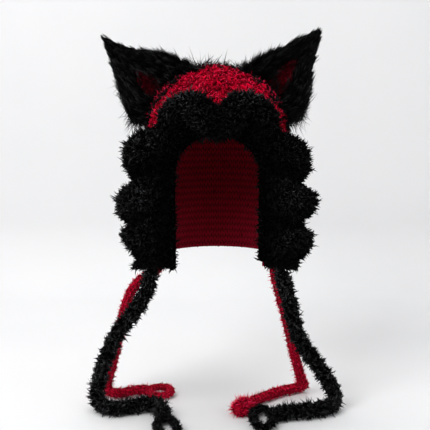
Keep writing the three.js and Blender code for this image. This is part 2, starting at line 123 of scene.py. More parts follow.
def putMesh(name, points, faces, material, uv=None, **marks):
    # one object at the origin from points in millimetres, faces as arrays of three or four corners,
    # and marks: a number for each point that its material reads
    mesh = bpy.data.meshes.new(name)
    mesh.vertices.add(len(points))
    mesh.vertices.foreach_set("co", (np.asarray(points) * mm).astype(np.float32).ravel())
    corners = np.concatenate([np.asarray(f).ravel() for f in faces]).astype(np.int32)
    sizes = np.concatenate([np.full(len(f), f.shape[1]) for f in faces])
    mesh.loops.add(len(corners))
    mesh.loops.foreach_set("vertex_index", corners)
    mesh.polygons.add(len(sizes))
    mesh.polygons.foreach_set("loop_start", (np.cumsum(sizes) - sizes).astype(np.int32))
    mesh.update(calc_edges=True)
    mesh.validate()
    mesh.polygons.foreach_set("use_smooth", np.ones(len(mesh.polygons), bool))
    if uv is not None:
        mesh.uv_layers.new(name="cloth").data.foreach_set("uv", uv[corners].astype(np.float32).ravel())
    for mark, values in marks.items():
        mesh.attributes.new(mark, "FLOAT", "POINT").data.foreach_set("value", values.astype(np.float32))
    mesh.materials.append(material)
    piece = addObject(name, mesh)
    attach(piece, "root")
    return piece


def facesOut(piece, merge=False):
    # all faces point outwards; merge makes one of the points that share a place first
    work = bmesh.new()
    work.from_mesh(piece.data)
    if merge:
        bmesh.ops.remove_doubles(work, verts=work.verts, dist=0.05 * mm)
        bmesh.ops.dissolve_degenerate(work, edges=work.edges, dist=0.02 * mm)
    bmesh.ops.recalc_face_normals(work, faces=work.faces)
    work.to_mesh(piece.data)
    work.free()


def surfaceGrid(surface, rows, columns):
    # points of surface(s, t) on an even grid
    s, t = np.meshgrid(np.linspace(0, 1, rows + 1), np.linspace(0, 1, columns + 1), indexing="ij")
    return surface(s, t), s, t


def gridWays(points):
    # unit vectors along the rows, along the columns and square to both
    alongS = unit(np.gradient(points, axis=0))
    alongT = unit(np.gradient(points, axis=1))
    return alongS, alongT, unit(np.cross(alongS, alongT))


def gridFaces(rows, columns):
    # four corners for each cell of a grid of (rows + 1) by (columns + 1) points
    i, j = np.meshgrid(np.arange(rows), np.arange(columns), indexing="ij")
    a = (i * (columns + 1) + j).ravel()
    return np.stack([a, a + columns + 1, a + columns + 2, a + 1], axis=1)


def closedSheet(upper, lower):
    # the two faces of a thick cloth and the narrow band round its border
    rows, columns = upper.shape[0] - 1, upper.shape[1] - 1
    size = (rows + 1) * (columns + 1)
    top = gridFaces(rows, columns)
    index = np.arange(size).reshape(rows + 1, columns + 1)
    ring = np.concatenate([index[:-1, 0], index[-1, :-1], index[:0:-1, -1], index[0, :0:-1]])
    after = np.roll(ring, -1)
    band = np.stack([ring, ring + size, after + size, after], axis=1)
    points = np.concatenate([upper.reshape(-1, 3), lower.reshape(-1, 3)])
    return points, [top, top[:, ::-1] + size, band]


def frontAndBack(front, back):
    # one grid that runs over the front of a cloth and on over its back
    return np.concatenate([front, back[:, ::-1]], axis=1)


def closedRings(rings, wrapped=False):
    # a skin through rings of points; wrapped joins the last ring to the first,
    # otherwise each end closes on its own middle
    count, sides = rings.shape[:2]
    k = np.arange(sides)
    beside = (k + 1) % sides
    row = np.arange(count if wrapped else count - 1)[:, None]
    here, there = row * sides, ((row + 1) % count) * sides
    walls = np.stack([here + k, here + beside, there + beside, there + k], axis=-1).reshape(-1, 4)
    points = rings.reshape(-1, 3)
    if wrapped:
        return points, [walls]
    first, last = len(points), len(points) + 1
    points = np.vstack([points, rings[0].mean(axis=0), rings[-1].mean(axis=0)])
    end = (count - 1) * sides
    caps = np.concatenate([np.stack([np.full(sides, first), beside, k], axis=1),
                           np.stack([np.full(sides, last), end + k, end + beside], axis=1)])
    return points, [walls, caps]


def pathWays(path, closed=False):
    # the way along a path and two ways square to it
    if closed:
        along = unit(np.roll(path, -1, axis=0) - np.roll(path, 1, axis=0))
    else:
        along = unit(np.gradient(path, axis=0))
    reference = np.array([0.0, 0.0, 1.0]) if closed else np.array([0.58, 0.57, 0.58])
    side = unit(np.cross(reference, along))
    return along, side, np.cross(along, side)


def spokes(side, up, count):
    # ways from the middle of a ring to its points, evenly round it
    angle = 2 * np.pi * np.arange(count) / count
    return np.cos(angle)[None, :, None] * side[:, None] + np.sin(angle)[None, :, None] * up[:, None]


def tubeRings(path, radius, closed=False):
    # rings round a path: point = path + (side x cosine + up x sine of its angle) x radius,
    # with a radius for each path point and side
    _, side, up = pathWays(path, closed)
    return path[:, None] + spokes(side, up, radius.shape[1]) * radius[..., None]


# Pile: strands of plush, fuzz and fur. A pile's dictionary holds its strands' length and width, then
# mess: how unevenly they stand, clump and pull: the spacing of the tips that they lean to and how
# much, curl, fall and droop: how they bend anyhow, back and down, and segments, taper and blunt

def scatter(fields, count, weight=None):
    # random places on a grid, as many on each cell as its area asks; every field is read there
    points = fields["place"]
    sides = points[1:, :-1] - points[:-1, :-1], points[:-1, 1:] - points[:-1, :-1]
    area = np.linalg.norm(np.cross(*sides), axis=-1)
    if weight is not None:
        area = area * weight[:-1, :-1]
    chosen = random.choice(area.size, count, p=(area / area.sum()).ravel())
    i, j = np.divmod(chosen, area.shape[1])
    u, v = random.random((2, count))
    read = {}
    for key, field in fields.items():
        field = field if field.ndim == 3 else field[..., None]
        value = (field[i, j] * ((1 - u) * (1 - v))[:, None] + field[i + 1, j] * (u * (1 - v))[:, None]
                 + field[i, j + 1] * ((1 - u) * v)[:, None] + field[i + 1, j + 1] * (u * v)[:, None])
        read[key] = value if value.shape[1] > 1 else value[:, 0]
    return read


def nearestGap(roots):
    # distance from a sample of the roots to the nearest other root
    sample = roots[::max(len(roots) // 300, 1)]
    gaps = ((sample[:, None] - roots[None]) ** 2).sum(axis=-1)
    gaps[gaps < 1e-9] = 1e9
    return np.sqrt(gaps.min(axis=1))


def clumpBends(roots, ways, lengths, spacing, pull):
    # strands near one another lean to one shared tip: each takes the nearest of a random few
    # of the roots as its leader and is drawn to the leader's tip by some share, but never
    # further than most of its own length; there are as many leaders as tips at that spacing
    # fit on the ground that the roots cover, guessed from the gaps between neighbours
    area = max(len(roots) * np.median(nearestGap(roots)) ** 2 * 3.0, spacing ** 2)
    leaders = random.choice(len(roots), min(max(int(area / spacing ** 2), 4), len(roots)), replace=False)
    best = np.zeros(len(roots), int)
    batch = 2000
    for first in range(0, len(roots), batch):
        part = roots[first:first + batch]
        gaps = ((part[:, None] - roots[leaders][None]) ** 2).sum(axis=-1)
        best[first:first + batch] = leaders[gaps.argmin(axis=1)]
    length = lengths[:, None]
    toTip = roots[best] + ways[best] * lengths[best][:, None] - (roots + ways * length)
    far = np.linalg.norm(toTip, axis=1, keepdims=True) / length
    return pull[:, None] * toTip / length * np.minimum(1, 0.8 / np.maximum(far, 1e-6))


def strands(roots, ways, lengths, widths, bends, segments, taper, blunt):
    # three-sided spikes: middle = root + way x length x s + bend x length x s squared,
    # radius = half width x (1 - s) to the power of taper, s from 0 at the root to 1 at the tip;
    # a blunt strand has its last ring nearer to its tip: s = even steps to the power of blunt
    n = len(roots)
    s = np.linspace(0, 1, segments + 1) ** blunt
    run = lengths[:, None, None] * s[None, :, None]
    middle = roots[:, None] + ways[:, None] * run + bends[:, None] * (run * s[None, :, None])
    side = unit(np.cross(ways, unit(random.normal(size=(n, 3)))))
    radius = widths[:, None] / 2 * (1 - s[None, :-1]) ** taper
    rings = middle[:, :-1, None] + radius[..., None, None] * spokes(side, np.cross(ways, side), 3)[:, None]
    points = np.concatenate([rings.reshape(n, 3 * segments, 3), middle[:, -1:]], axis=1)
    k = np.arange(3)
    beside = (k + 1) % 3
    row = 3 * np.arange(segments - 1)[:, None]
    walls = np.stack([row + k, row + beside, row + 3 + beside, row + 3 + k], axis=-1).reshape(-1, 4)
    top, tipPoint = 3 * (segments - 1), 3 * segments
    ends = np.vstack([np.stack([top + k, top + beside, np.full(3, tipPoint)], axis=1), [[0, 2, 1]]])
    start = (np.arange(n) * (tipPoint + 1))[:, None, None]
    # the tip mark, 0 at the root and 1 at the tip, sets each point's painted shade and painted highlight
    tip = np.tile(np.append(np.repeat(s[:-1], 3), 1.0), n)
    shade = np.repeat(random.random(n), tipPoint + 1)
    return points.reshape(-1, 3), [(start + walls).reshape(-1, 4), (start + ends).reshape(-1, 3)], tip, shade


def putPile(name, finish, slot, roots, ways, pile, share=1.0, light=1.0):
    # strands on given roots, with a share of their length and how light each may be at its tip, which scales
    # its painted highlight
    count = len(roots)
    ways = unit(ways + random.normal(size=(count, 3)) * pile["mess"])
    lengths = random.uniform(*pile["length"], count) * share
    bends = clumpBends(roots, ways, lengths, pile["clump"], random.uniform(0.6, 1.0, count) * pile["pull"])
    bends = bends + random.normal(size=(count, 3)) * pile["curl"] - ways * pile.get("fall", 0.0)
    bends[:, 2] -= pile.get("droop", 0.0)
    widths = random.uniform(0.7, 1.3, count) * pile["width"]
    points, faces, tip, shade = strands(roots, ways, lengths, widths, bends, pile["segments"],
                                        pile.get("taper", 0.6), pile.get("blunt", 1.0))
    tip = tip * np.repeat(np.full(count, light), len(tip) // count)
    piece = putMesh(name, points, faces, finishes[finish], tip=tip, shade=shade)
    return piece


def growPile(name, finish, slot, fields, count, pile, lean, weight=None, share=None, light=None):
    # a piece of pile on a grid: lean gives each strand's way from what the grid's fields hold
    # there, share how much of its length it has, and light how light its tip may be, which scales its painted
    # highlight
    at = scatter(fields, count, weight)
    return putPile(name, finish, slot, at["place"], lean(at), pile,
                   share(at) if share else 1.0, light(at) if light else 1.0)


# Materials: each is a small tree of nodes that reads the piece's own place, map and marks

def addNode(tree, kind, **values):
    node = tree.nodes.new(kind)
    for name, value in values.items():
        if name in node.inputs:
            node.inputs[name].default_value = value
        else:
            setattr(node, name, value)
    return node


def addTexture(tree, kind, **values):
    # a texture on the piece's own place
    texture = addNode(tree, kind, **values)
    tree.links.new(addNode(tree, "ShaderNodeTexCoord").outputs["Object"], texture.inputs["Vector"])
    return texture


def newMaterial(name):
    material = bpy.data.materials.new(name)
    material.use_nodes = True
    return material, material.node_tree, material.node_tree.nodes["Principled BSDF"]


def ramp(tree, factor, stops):
    # colours between stops of (place, colour)
    node = tree.nodes.new("ShaderNodeValToRGB")
    elements = node.color_ramp.elements
    while len(elements) < len(stops):
        elements.new(0.5)
    for element, (place, colour) in zip(elements, stops):
        element.position, element.color = place, (*colour, 1)
    tree.links.new(factor, node.inputs["Fac"])
    return node.outputs["Color"]


def maths(tree, operation, a, b=0):
    node = tree.nodes.new("ShaderNodeMath")
    node.operation = operation
    for socket, value in zip(node.inputs, (a, b)):
        if isinstance(value, (int, float)):
            socket.default_value = value
        else:
            tree.links.new(value, socket)
    return node.outputs[0]


def setGloss(shader, spec):
    shader.inputs["Specular IOR Level"].default_value = spec["gloss"]
    if "sheen" in spec:
        shader.inputs["Sheen Weight"].default_value = spec["sheen"]
        shader.inputs["Sheen Tint"].default_value = (*redTint, 1)


def fibreMaterial(spec):
    # strands: painted shade at the root, painted highlight towards the tip; three quarters of that painted
    # light go by each strand's own random shade, so that few strands carry much highlight, broad patches lie
    # over all, and a light strand is a little rougher
    material, tree, shader = newMaterial(spec["name"])
    tip = addNode(tree, "ShaderNodeAttribute", attribute_name="tip").outputs["Fac"]
    shade = addNode(tree, "ShaderNodeAttribute", attribute_name="shade").outputs["Fac"]
    patches = addTexture(tree, "ShaderNodeTexNoise", Scale=spec["patch"], Detail=2.0).outputs["Fac"]
    own = maths(tree, "ADD", maths(tree, "MULTIPLY", maths(tree, "POWER", shade, spec["spread"]), 0.75), 0.25)
    light = maths(tree, "MULTIPLY", maths(tree, "MULTIPLY", tip, own), maths(tree, "ADD", patches, 0.5))
    tree.links.new(ramp(tree, light, spec["colours"]), shader.inputs["Base Color"])
    rough = maths(tree, "ADD", maths(tree, "MULTIPLY", shade, 0.2), spec["roughness"])
    tree.links.new(rough, shader.inputs["Roughness"])
    shader.inputs["Sheen Roughness"].default_value = 0.4
    setGloss(shader, spec)
    return material


def clothSurface(tree, shader, spec, factor, height, strength):
    # dull cloth: colours by the factor and a bump of the height
    tree.links.new(ramp(tree, factor, spec["colours"]), shader.inputs["Base Color"])
    bump = addNode(tree, "ShaderNodeBump", Strength=strength, Distance=spec["depth"] * mm)
    tree.links.new(height, bump.inputs["Height"])
    tree.links.new(bump.outputs["Normal"], shader.inputs["Normal"])
    shader.inputs["Roughness"].default_value = 0.95
    setGloss(shader, spec)


def groundMaterial(spec):
    # the cloth under a pile: small lumps from two noises, with painted shade in its hollows
    material, tree, shader = newMaterial(spec["name"])
    lumps = addTexture(tree, "ShaderNodeTexVoronoi", Scale=260.0, Randomness=0.7).outputs["Distance"]
    hairs = addTexture(tree, "ShaderNodeTexNoise", Scale=900.0, Detail=4.0).outputs["Fac"]
    height = maths(tree, "SUBTRACT", maths(tree, "MULTIPLY", hairs, 0.8), lumps)
    clothSurface(tree, shader, spec, maths(tree, "ADD", height, 0.5), height, 0.8)
    return material


def knitMaterial(spec):
    # stocking stitch on the cloth's own map, one stitch for each unit across and up: the two
    # legs of a stitch lean to its middle, and the gaps between legs and rows are dark, a painted shade
    material, tree, shader = newMaterial(spec["name"])
    cloth = addNode(tree, "ShaderNodeUVMap", uv_map="cloth")
    split = addNode(tree, "ShaderNodeSeparateXYZ")
    tree.links.new(cloth.outputs["UV"], split.inputs["Vector"])
    fraction = maths(tree, "FRACT", split.outputs["X"])
    across = maths(tree, "ABSOLUTE", maths(tree, "SUBTRACT", fraction, 0.5))
    leaning = maths(tree, "ADD", split.outputs["Y"], maths(tree, "MULTIPLY", across, 1.2))
    rows = maths(tree, "SINE", maths(tree, "MULTIPLY", maths(tree, "FRACT", leaning), math.pi))
    legs = maths(tree, "SINE", maths(tree, "MULTIPLY", across, 2 * math.pi))
    height = maths(tree, "MULTIPLY", maths(tree, "POWER", rows, 0.6), maths(tree, "POWER", legs, 0.5))
    hairs = addTexture(tree, "ShaderNodeTexNoise", Scale=700.0, Detail=3.0).outputs["Fac"]
    height = maths(tree, "MULTIPLY", height, maths(tree, "ADD", hairs, 0.45))
    clothSurface(tree, shader, spec, height, height, 0.9)
    return material


# Colours run from the painted shade of the root or hollow to the painted highlight of the tip; a red finish
# has a red sheen too
redTint = (1.0, 0.06, 0.14)
fibres = {
    "plush": {"name": "blackPlush", "patch": 22.0, "spread": 1.8, "roughness": 0.5, "gloss": 0.05,
              "colours": [(0.0, (0.0008, 0.0008, 0.0009)), (0.2, (0.004, 0.004, 0.0045)),
                          (0.5, (0.028, 0.0285, 0.03)), (1.0, (0.11, 0.112, 0.116))]},
    "fur": {"name": "blackFur", "patch": 30.0, "spread": 4.0, "roughness": 0.3, "gloss": 0.08,
            "colours": [(0.0, (0.0006, 0.0006, 0.0007)), (0.3, (0.0015, 0.0015, 0.0018)),
                        (1.0, (0.065, 0.065, 0.069))]},
    "mohair": {"name": "redMohair", "patch": 90.0, "spread": 1.3, "roughness": 0.7, "gloss": 0.03,
               "sheen": 0.04,
               "colours": [(0.0, (0.03, 0.0, 0.002)), (0.15, (0.2, 0.0, 0.01)),
                           (0.34, (0.92, 0.002, 0.04)), (0.7, (1.0, 0.055, 0.17))]},
    "yarn": {"name": "redYarn", "patch": 60.0, "spread": 1.0, "roughness": 0.8, "gloss": 0.03,
             "sheen": 0.05,
             "colours": [(0.0, (0.01, 0.0, 0.001)), (0.3, (0.15, 0.0, 0.006)),
                         (0.7, (0.55, 0.0005, 0.02)), (1.0, (0.95, 0.008, 0.065))]},
    "lining": {"name": "redLiningPile", "patch": 60.0, "spread": 3.0, "roughness": 0.6, "gloss": 0.05,
               "sheen": 0.05,
               "colours": [(0.0, (0.004, 0.0, 0.0003)), (0.5, (0.07, 0.0003, 0.004)),
                           (1.0, (0.34, 0.002, 0.018))]},
}
grounds = {
    "plushGround": {"name": "blackGround", "depth": 2.0, "gloss": 0.0,
                    "colours": [(0.2, (0.0005, 0.0005, 0.0005)), (0.9, (0.002, 0.002, 0.0025))]},
    "liningGround": {"name": "liningGround", "depth": 1.0, "gloss": 0.03, "sheen": 0.1,
                     "colours": [(0.2, (0.004, 0.0, 0.0003)), (0.9, (0.014, 0.0001, 0.001))]},
}
knits = {
    "knit": {"name": "redKnit", "depth": 3.0, "gloss": 0.12, "sheen": 0.2,
             "colours": [(0.0, (0.03, 0.0, 0.002)), (0.35, (0.34, 0.0, 0.012)), (1.0, (0.82, 0.001, 0.035))]},
    # the inside of the hood: the same knit, darker all over by painted shade
    "shadedInsideKnit": {"name": "redKnitInside", "depth": 3.0, "gloss": 0.1, "sheen": 0.1,
                  "colours": [(0.0, (0.012, 0.0, 0.001)), (0.35, (0.12, 0.0, 0.005)),
                              (1.0, (0.36, 0.0005, 0.015))]},
}
finishes = {}
for makeMaterial, specs in ((fibreMaterial, fibres), (groundMaterial, grounds), (knitMaterial, knits)):
    finishes.update({finish: makeMaterial(spec) for finish, spec in specs.items()})
print("materials made")

# Ties: centre lines of the four cords, in millimetres, from the hem to their ends on the surface
tieRoutes = {
    "black_left": [
        (-105, -84, -294), (-105, -84, -314), (-110, -83, -336), (-119, -81, -357), (-134, -79, -379),
        (-150, -77, -399), (-163, -76, -419), (-173, -75, -440), (-183, -72, -465), (-190, -68, -490),
        (-195, -63, -512), (-197, -62, -527), (-192, -68, -534), (-180, -82, -534), (-164, -88, -534),
        (-147, -83, -534), (-130, -76, -534), (-113, -71, -534), (-100, -74, -534), (-91, -88, -534),
        (-86, -104, -535), (-84, -114, -536)],
    "black_right": [
        (102, -86, -294), (102, -85, -314), (108, -77, -337), (116, -70, -361), (121, -67, -387),
        (127, -67, -410), (135, -68, -430), (146, -69, -447), (159, -69, -463), (171, -68, -481),
        (182, -65, -500), (191, -61, -518), (193, -64, -530), (187, -75, -534), (173, -88, -534),
        (154, -96, -534), (132, -101, -534), (111, -106, -534), (92, -112, -535)],
    "red_left": [
        (-94, -44, -292), (-95, -44, -312), (-110, -46, -324), (-128, -46, -336), (-140, -42, -354),
        (-149, -38, -377), (-156, -34, -400), (-162, -30, -425), (-167, -26, -450), (-173, -20, -475),
        (-180, -12, -500), (-186, -4, -522), (-187, 0, -534), (-182, -6, -538), (-172, -11, -538),
        (-158, -10, -538), (-145, -2, -538), (-131, 3, -538), (-116, 2, -539)],
    "red_right": [
        (92, -46, -292), (92, -46, -312), (96, -48, -334), (103, -46, -360), (112, -41, -392),
        (119, -36, -421), (125, -29, -449), (132, -20, -477), (139, -9, -502), (146, 4, -524),
        (149, 14, -534), (145, 18, -538), (133, 10, -538), (118, 2, -538), (102, -8, -538),
        (84, -24, -538), (66, -42, -538), (54, -58, -537), (47, -70, -536)],
}
tieStartZ = -305.3
floorZ = -546.0
redPile = {"length": (2.5, 5.0), "width": 1.6, "mess": 0.7, "clump": 4.0, "pull": 0.5, "curl": 0.6,
           "fall": 0.3, "segments": 2, "taper": 0.35}
# a black cord is a core under plush, a red one a knitted cord with mohair on it; a loop's tube
# is as thick as its solid, less the depth of its pile
cords = {
    "black": {"diameter": 24.0, "core": 9.2, "sides": 16, "step": 4.0, "loopStep": 3.0, "loopPileDepth": 2.8,
              "under": "core", "ground": "plushGround", "finish": "plush", "slot": "black_plush",
              "strands": 4300,
              "pile": {"length": (5.0, 7.8), "width": 2.5, "mess": 0.45, "clump": 6.0, "pull": 0.9,
                       "curl": 0.55, "fall": 0.3, "segments": 2, "taper": 0.3, "blunt": 0.6}},
    "red": {"diameter": 16.0, "core": 7.0, "sides": 14, "step": 1.6, "loopStep": 1.6, "loopPileDepth": 0.6,
            "under": "knit", "ground": "knit", "finish": "mohair", "slot": "red_mohair", "strands": 3400,
            "pile": redPile, "stitch": 7.5, "relief": 2.2},
}
blackLoop = {"tube": 8.0, "halfWidth": 15, "halfLength": 39, "strands": 1250,
             "pile": {"length": (3.0, 6.0), "width": 1.6, "mess": 0.4, "clump": 5.0, "pull": 0.7, "curl": 0.4,
                      "segments": 2}}
loops = {
    "black_left": dict(blackLoop, x=-77, y=-158, turn=11),
    "black_right": dict(blackLoop, x=72, y=-118, turn=0),
    "red_left": {"x": -97, "y": 1, "turn": 0, "tube": 6.0, "halfWidth": 19, "halfLength": 21, "strands": 800,
                 "pile": dict(redPile, length=(1.5, 3.2))},
}
loopSides = 12
redEnd = {"x": 41, "y": -82, "turn": 60, "radius": 11.0, "halfLength": 20.0, "rings": 25, "sides": 16,
          "strands": 1000, "pile": dict(redPile, length=(4.0, 9.0))}


def tiePath(route, step):
    # the route without the part that is inside the hem, and 5 mm further on into its end piece
    route = np.asarray(route, float)
    path = splinePath(np.vstack([route, route[-1] + 5 * unit(route[-1] - route[-2])]), 1.0)
    path = path[path[:, 2] <= tieStartZ]
    return splinePath(path[::6], step)


def loopPath(loop, step):
    # an oval ring lying on the surface
    angle = 2 * np.pi * np.arange(8) / 8
    turn = math.radians(loop["turn"])
    across, along = loop["halfWidth"] * np.cos(angle), loop["halfLength"] * np.sin(angle)
    ring = np.stack([loop["x"] + across * math.cos(turn) - along * math.sin(turn),
                     loop["y"] + across * math.sin(turn) + along * math.cos(turn),
                     np.full(8, floorZ + loop["tube"])], axis=1)
    return splinePath(ring, step, closed=True)


def roundedEnds(path, radius, cut=0.0):
    # the tube draws in at each end along a quarter circle as long as it is thick; the cut
    # leaves that much of it off its last end, where it runs into a loop
    run = np.arange(len(path)) * np.linalg.norm(path[1] - path[0])
    near = np.clip(np.minimum(run, run[-1] - run + cut * radius) / radius, 0, 1)
    return np.sqrt(np.clip(1 - (1 - near) ** 2, 0.06, 1))


def knitRelief(radius, cord):
    # two plaited columns of stitches round a cord: each leg is a half sine along and across
    count, sides = radius.shape
    along = np.arange(count)[:, None] * cord["step"] / cord["stitch"]
    around = np.arange(sides)[None, :] / sides * 4
    leaning = along + np.abs((around % 1) - 0.5) * 1.1 + 0.5 * (np.floor(around) % 2)
    return cord["relief"] * (np.abs(np.sin(np.pi * leaning)) ** 0.7 - 0.6)


def clothMap(rings, cord):
    # a map for the knit: four stitches round the cord, its stitch length along it
    count, sides = rings.shape[:2]
    along, around = np.meshgrid(np.arange(count) * cord["step"] / cord["stitch"],
                                4 * np.arange(sides) / sides, indexing="ij")
    return np.stack([around, along], axis=-1).reshape(-1, 2)


def uneven(shape):
    # a hand-made core is up to about half a millimetre thicker or thinner
    return random.normal(0, 0.3, shape)


def addPileOnTube(name, finish, slot, rings, path, count, pile, closed=False, light=1.0):
    # strands square off a tube, leaning a little along it
    along = pathWays(path, closed)[0]
    wrapped = np.concatenate([rings, rings[:, :1]], axis=1)
    if closed:
        wrapped, path, along = (np.concatenate([a, a[:1]]) for a in (wrapped, path, along))
    fields = {"place": wrapped, "square": unit(wrapped - path[:, None]),
              "along": np.broadcast_to(along[:, None], wrapped.shape)}
    return growPile(name, finish, slot, fields, count, pile,
                    lean=lambda at: at["square"] + 0.25 * at["along"] * random.normal(size=(count, 1)),
                    light=lambda at: light)


def coverTube(node, cord, rings, path, count, pile, closed=False):
    # the core or the knitted cord that stands for a node, and the pile on it
    points, faces = closedRings(rings, closed)
    uv = None
    if "stitch" in cord:
        uv = np.vstack([clothMap(rings, cord), np.zeros((2, 2))])[:len(points)]
    ground = putMesh(f"{node}_{cord['under']}", points, faces, finishes[cord["ground"]], uv=uv)
    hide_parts(node)
    return ground, addPileOnTube(f"{node}_pile", cord["finish"], cord["slot"], rings, path, count, pile,
                                 closed)


def addTie(side, cord):
    # a red tie has its stitches, a black one slow swellings and an uneven core
    path = tiePath(tieRoutes[side], cord["step"])
    radius = np.full((len(path), cord["sides"]), cord["core"])
    if "stitch" in cord:
        radius = radius + knitRelief(radius, cord)
    else:
        radius = radius + 0.9 * np.sin(np.arange(len(path)) * 1.3)[:, None] + uneven(radius.shape)
    rings = tubeRings(path, radius * roundedEnds(path, cord["core"], 0.5)[:, None])
    return path, coverTube(f"tie_{side}", cord, rings, path, cord["strands"], cord["pile"])


def addLoop(side):
    loop, cord = loops[side], cords[side.split("_")[0]]
    path = loopPath(loop, cord["loopStep"])
    radius = np.full((len(path), loopSides), loop["tube"] - cord["loopPileDepth"])
    radius = radius + (0.8 * knitRelief(radius, cord) if "stitch" in cord else uneven(radius.shape))
    rings = tubeRings(path, radius, closed=True)
    return coverTube(f"tie_{side}_loop", cord, rings, path, loop["strands"], loop["pile"], closed=True)


def addRedEnd():
    # a thick knitted end: an egg whose rings carry the same stitches as the cord
    turn = math.radians(redEnd["turn"])
    way = np.array([math.cos(turn), math.sin(turn), 0])
    run = np.linspace(-1, 1, redEnd["rings"] + 2)[1:-1, None]
    path = np.array([redEnd["x"], redEnd["y"], floorZ + redEnd["radius"]]) + run * way * redEnd["halfLength"]
    radius = redEnd["radius"] * (1 - np.abs(run) ** 2.4) ** 0.5 * np.ones(redEnd["sides"])
    radius = radius + 1.3 * knitRelief(radius, cords["red"]) * (1 - run ** 2)
    rings = tubeRings(path, np.maximum(radius, 1.0))
    return coverTube("tie_red_right_end", cords["red"], rings, path, redEnd["strands"], redEnd["pile"])


def addTies():
    ends = {side: addLoop(side) for side in loops}
    ends["red_right"] = addRedEnd()
    for side, endPieces in ends.items():
        cord = cords[side.split("_")[0]]
        path, (tie, pile) = addTie(side, cord)
        length = runAlong(path)[-1]
        points = [tuple(p) for p in (splinePath(path[::4], length / 36) * mm).tolist()]
        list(endPieces)
        print("tie", side, round(length), "mm")


addTies()

# Hood: a knitted shell, an ellipse at every height, cut away at the front for the face
hood = {"wall": 8.0, "halfWidth": 114.0, "frontDepth": 112.0, "backDepth": 126.0, "domeHeight": 108.0,
        "skirtLength": 205.0, "openingWidth": 72.0, "archTopZ": -86.0, "sunk": 2.0, "pole": 0.4,
        "rows": 64, "columns": 128, "mapRows": 34, "mapStitches": 74}
# down the skirt: the shares of the half width, the depth to the front and the depth to the back
hoodTable = [(0.0, 1.0, 1.0, 1.0), (0.3, 0.985, 0.95, 0.97), (0.65, 0.93, 0.87, 0.84),
             (1.0, 0.95, 0.84, 0.76)]
widestZ = hood["wall"] - hood["domeHeight"]
hemZ = widestZ - hood["skirtLength"]
archFootZ = hood["archTopZ"] - hood["openingWidth"]
# a stitch is two lozenges, its legs; none stands within the bare width beside the face opening
stitch = {"width": 10.4, "row": 9.0, "bare": 28.0, "legHalf": 6.6, "halfWidth": 3.1, "halfHeight": 3.6,
          "lean": 24, "sunk": 2.2, "unevenLean": 0.5, "unevenPlace": 1.2}
fuzz = {"strands": 10000, "rootDepth": 2.6,
        "pile": {"length": (4.0, 8.0), "width": 1.7, "mess": 0.3, "clump": 5.0, "pull": 0.5, "curl": 0.35,
                 "fall": 0.2, "segments": 2, "taper": 0.35, "blunt": 0.7}}


def hoodSection(z, grow=0.0):
    # half width and the two depths at a height: an ellipse over the dome, the table below it
    share = np.clip((z - widestZ) / (hood["domeHeight"] + grow), 0, 1)
    shrink = np.sqrt(1 - share ** 2)
    shares = readTable(hoodTable, np.clip((widestZ - z) / hood["skirtLength"], 0, 1))
    sizes = np.array([hood["halfWidth"], hood["frontDepth"], hood["backDepth"]])
    return np.where((z >= widestZ)[..., None], (sizes + grow) * shrink[..., None], sizes * shares + grow)


def hoodFront(x, z):
    # how far forward the hood's outside is at a place
    section = hoodSection(z)
    return -section[..., 1] * np.sqrt(np.clip(1 - (x / section[..., 0]) ** 2, 0, 1))


def openingWidth(z):
    # half width of the face opening: straight sides under a round arch
    high = np.clip(z - archFootZ, 0, hood["openingWidth"])
    half = np.sqrt(hood["openingWidth"] ** 2 - high ** 2)
    return np.where(z > hood["archTopZ"], 0.0, half)


def fromOpening(points):
    # distance from the edge of the face opening, seen from the front; far away on the back
    x, z = points[..., 0], points[..., 2]
    gap = np.hypot(x, np.maximum(z - archFootZ, 0)) - hood["openingWidth"]
    return np.where(points[..., 1] < 0, gap, 999.0)


def meridian(grow=0.0):
    # the run from the top down the back, and the height that goes with it
    angle = np.linspace(0, np.pi / 2, 60)
    dome = widestZ + (hood["domeHeight"] + grow) * np.cos(angle)
    z = np.concatenate([dome, np.linspace(widestZ, hemZ, 60)[1:]])
    return runAlong(np.stack([z, hoodSection(z, grow)[:, 0]], axis=1)), z


def hoodPoints(run, turn, grow=0.0):
    # run is millimetres down from the top, turn goes from -1 to 1 round from one side of the
    # face opening over the back to the other: x = half width x sine, y = depth x cosine
    z = np.interp(run, *meridian(grow))
    section = hoodSection(z, grow)
    half = np.arcsin(np.clip(openingWidth(z) / np.maximum(section[..., 0], 1e-6), 0, 1))
    angle = turn * (np.pi - half)
    depth = np.where(np.cos(angle) > 0, section[..., 2], section[..., 1])
    return np.stack([section[..., 0] * np.sin(angle), depth * np.cos(angle), z], axis=-1)


def addHoodShell():
    # outside and inside of the shell on one grid, joined round the hem and the face opening;
    # the two sides of the grid meet over the opening and at the top, where the first row is only
    # the pole's distance away, and the outside is sunk a little so that the stitches stand on it
    rows, columns = hood["rows"], hood["columns"]
    faceGrids = []
    for grow in (-hood["sunk"], -hood["wall"]):
        run, turn = np.meshgrid(np.linspace(0, 1, rows + 1) * meridian(grow)[0][-1],
                                np.linspace(-1, 1, columns + 1), indexing="ij")
        faceGrids.append(hoodPoints(np.maximum(run, hood["pole"]), turn, grow))
    points, faces = closedSheet(*faceGrids)
    run, turn = np.meshgrid(np.linspace(0, hood["mapRows"], rows + 1),
                            np.linspace(0, hood["mapStitches"], columns + 1), indexing="ij")
    uv = np.tile(np.stack([turn, -run], axis=-1).reshape(-1, 2), (2, 1))
    shell = putMesh("crown_knit", points, faces, finishes["knit"], uv=uv)
    # the inside faces get the darker copy of the knit, its painted shade
    shell.data.materials.append(finishes["shadedInsideKnit"])
    inside = np.zeros(len(shell.data.polygons), dtype=np.int32)
    inside[len(faces[0]):len(faces[0]) + len(faces[1])] = 1
    shell.data.polygons.foreach_set("material_index", inside)
    facesOut(shell, merge=True)
    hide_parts("crown")


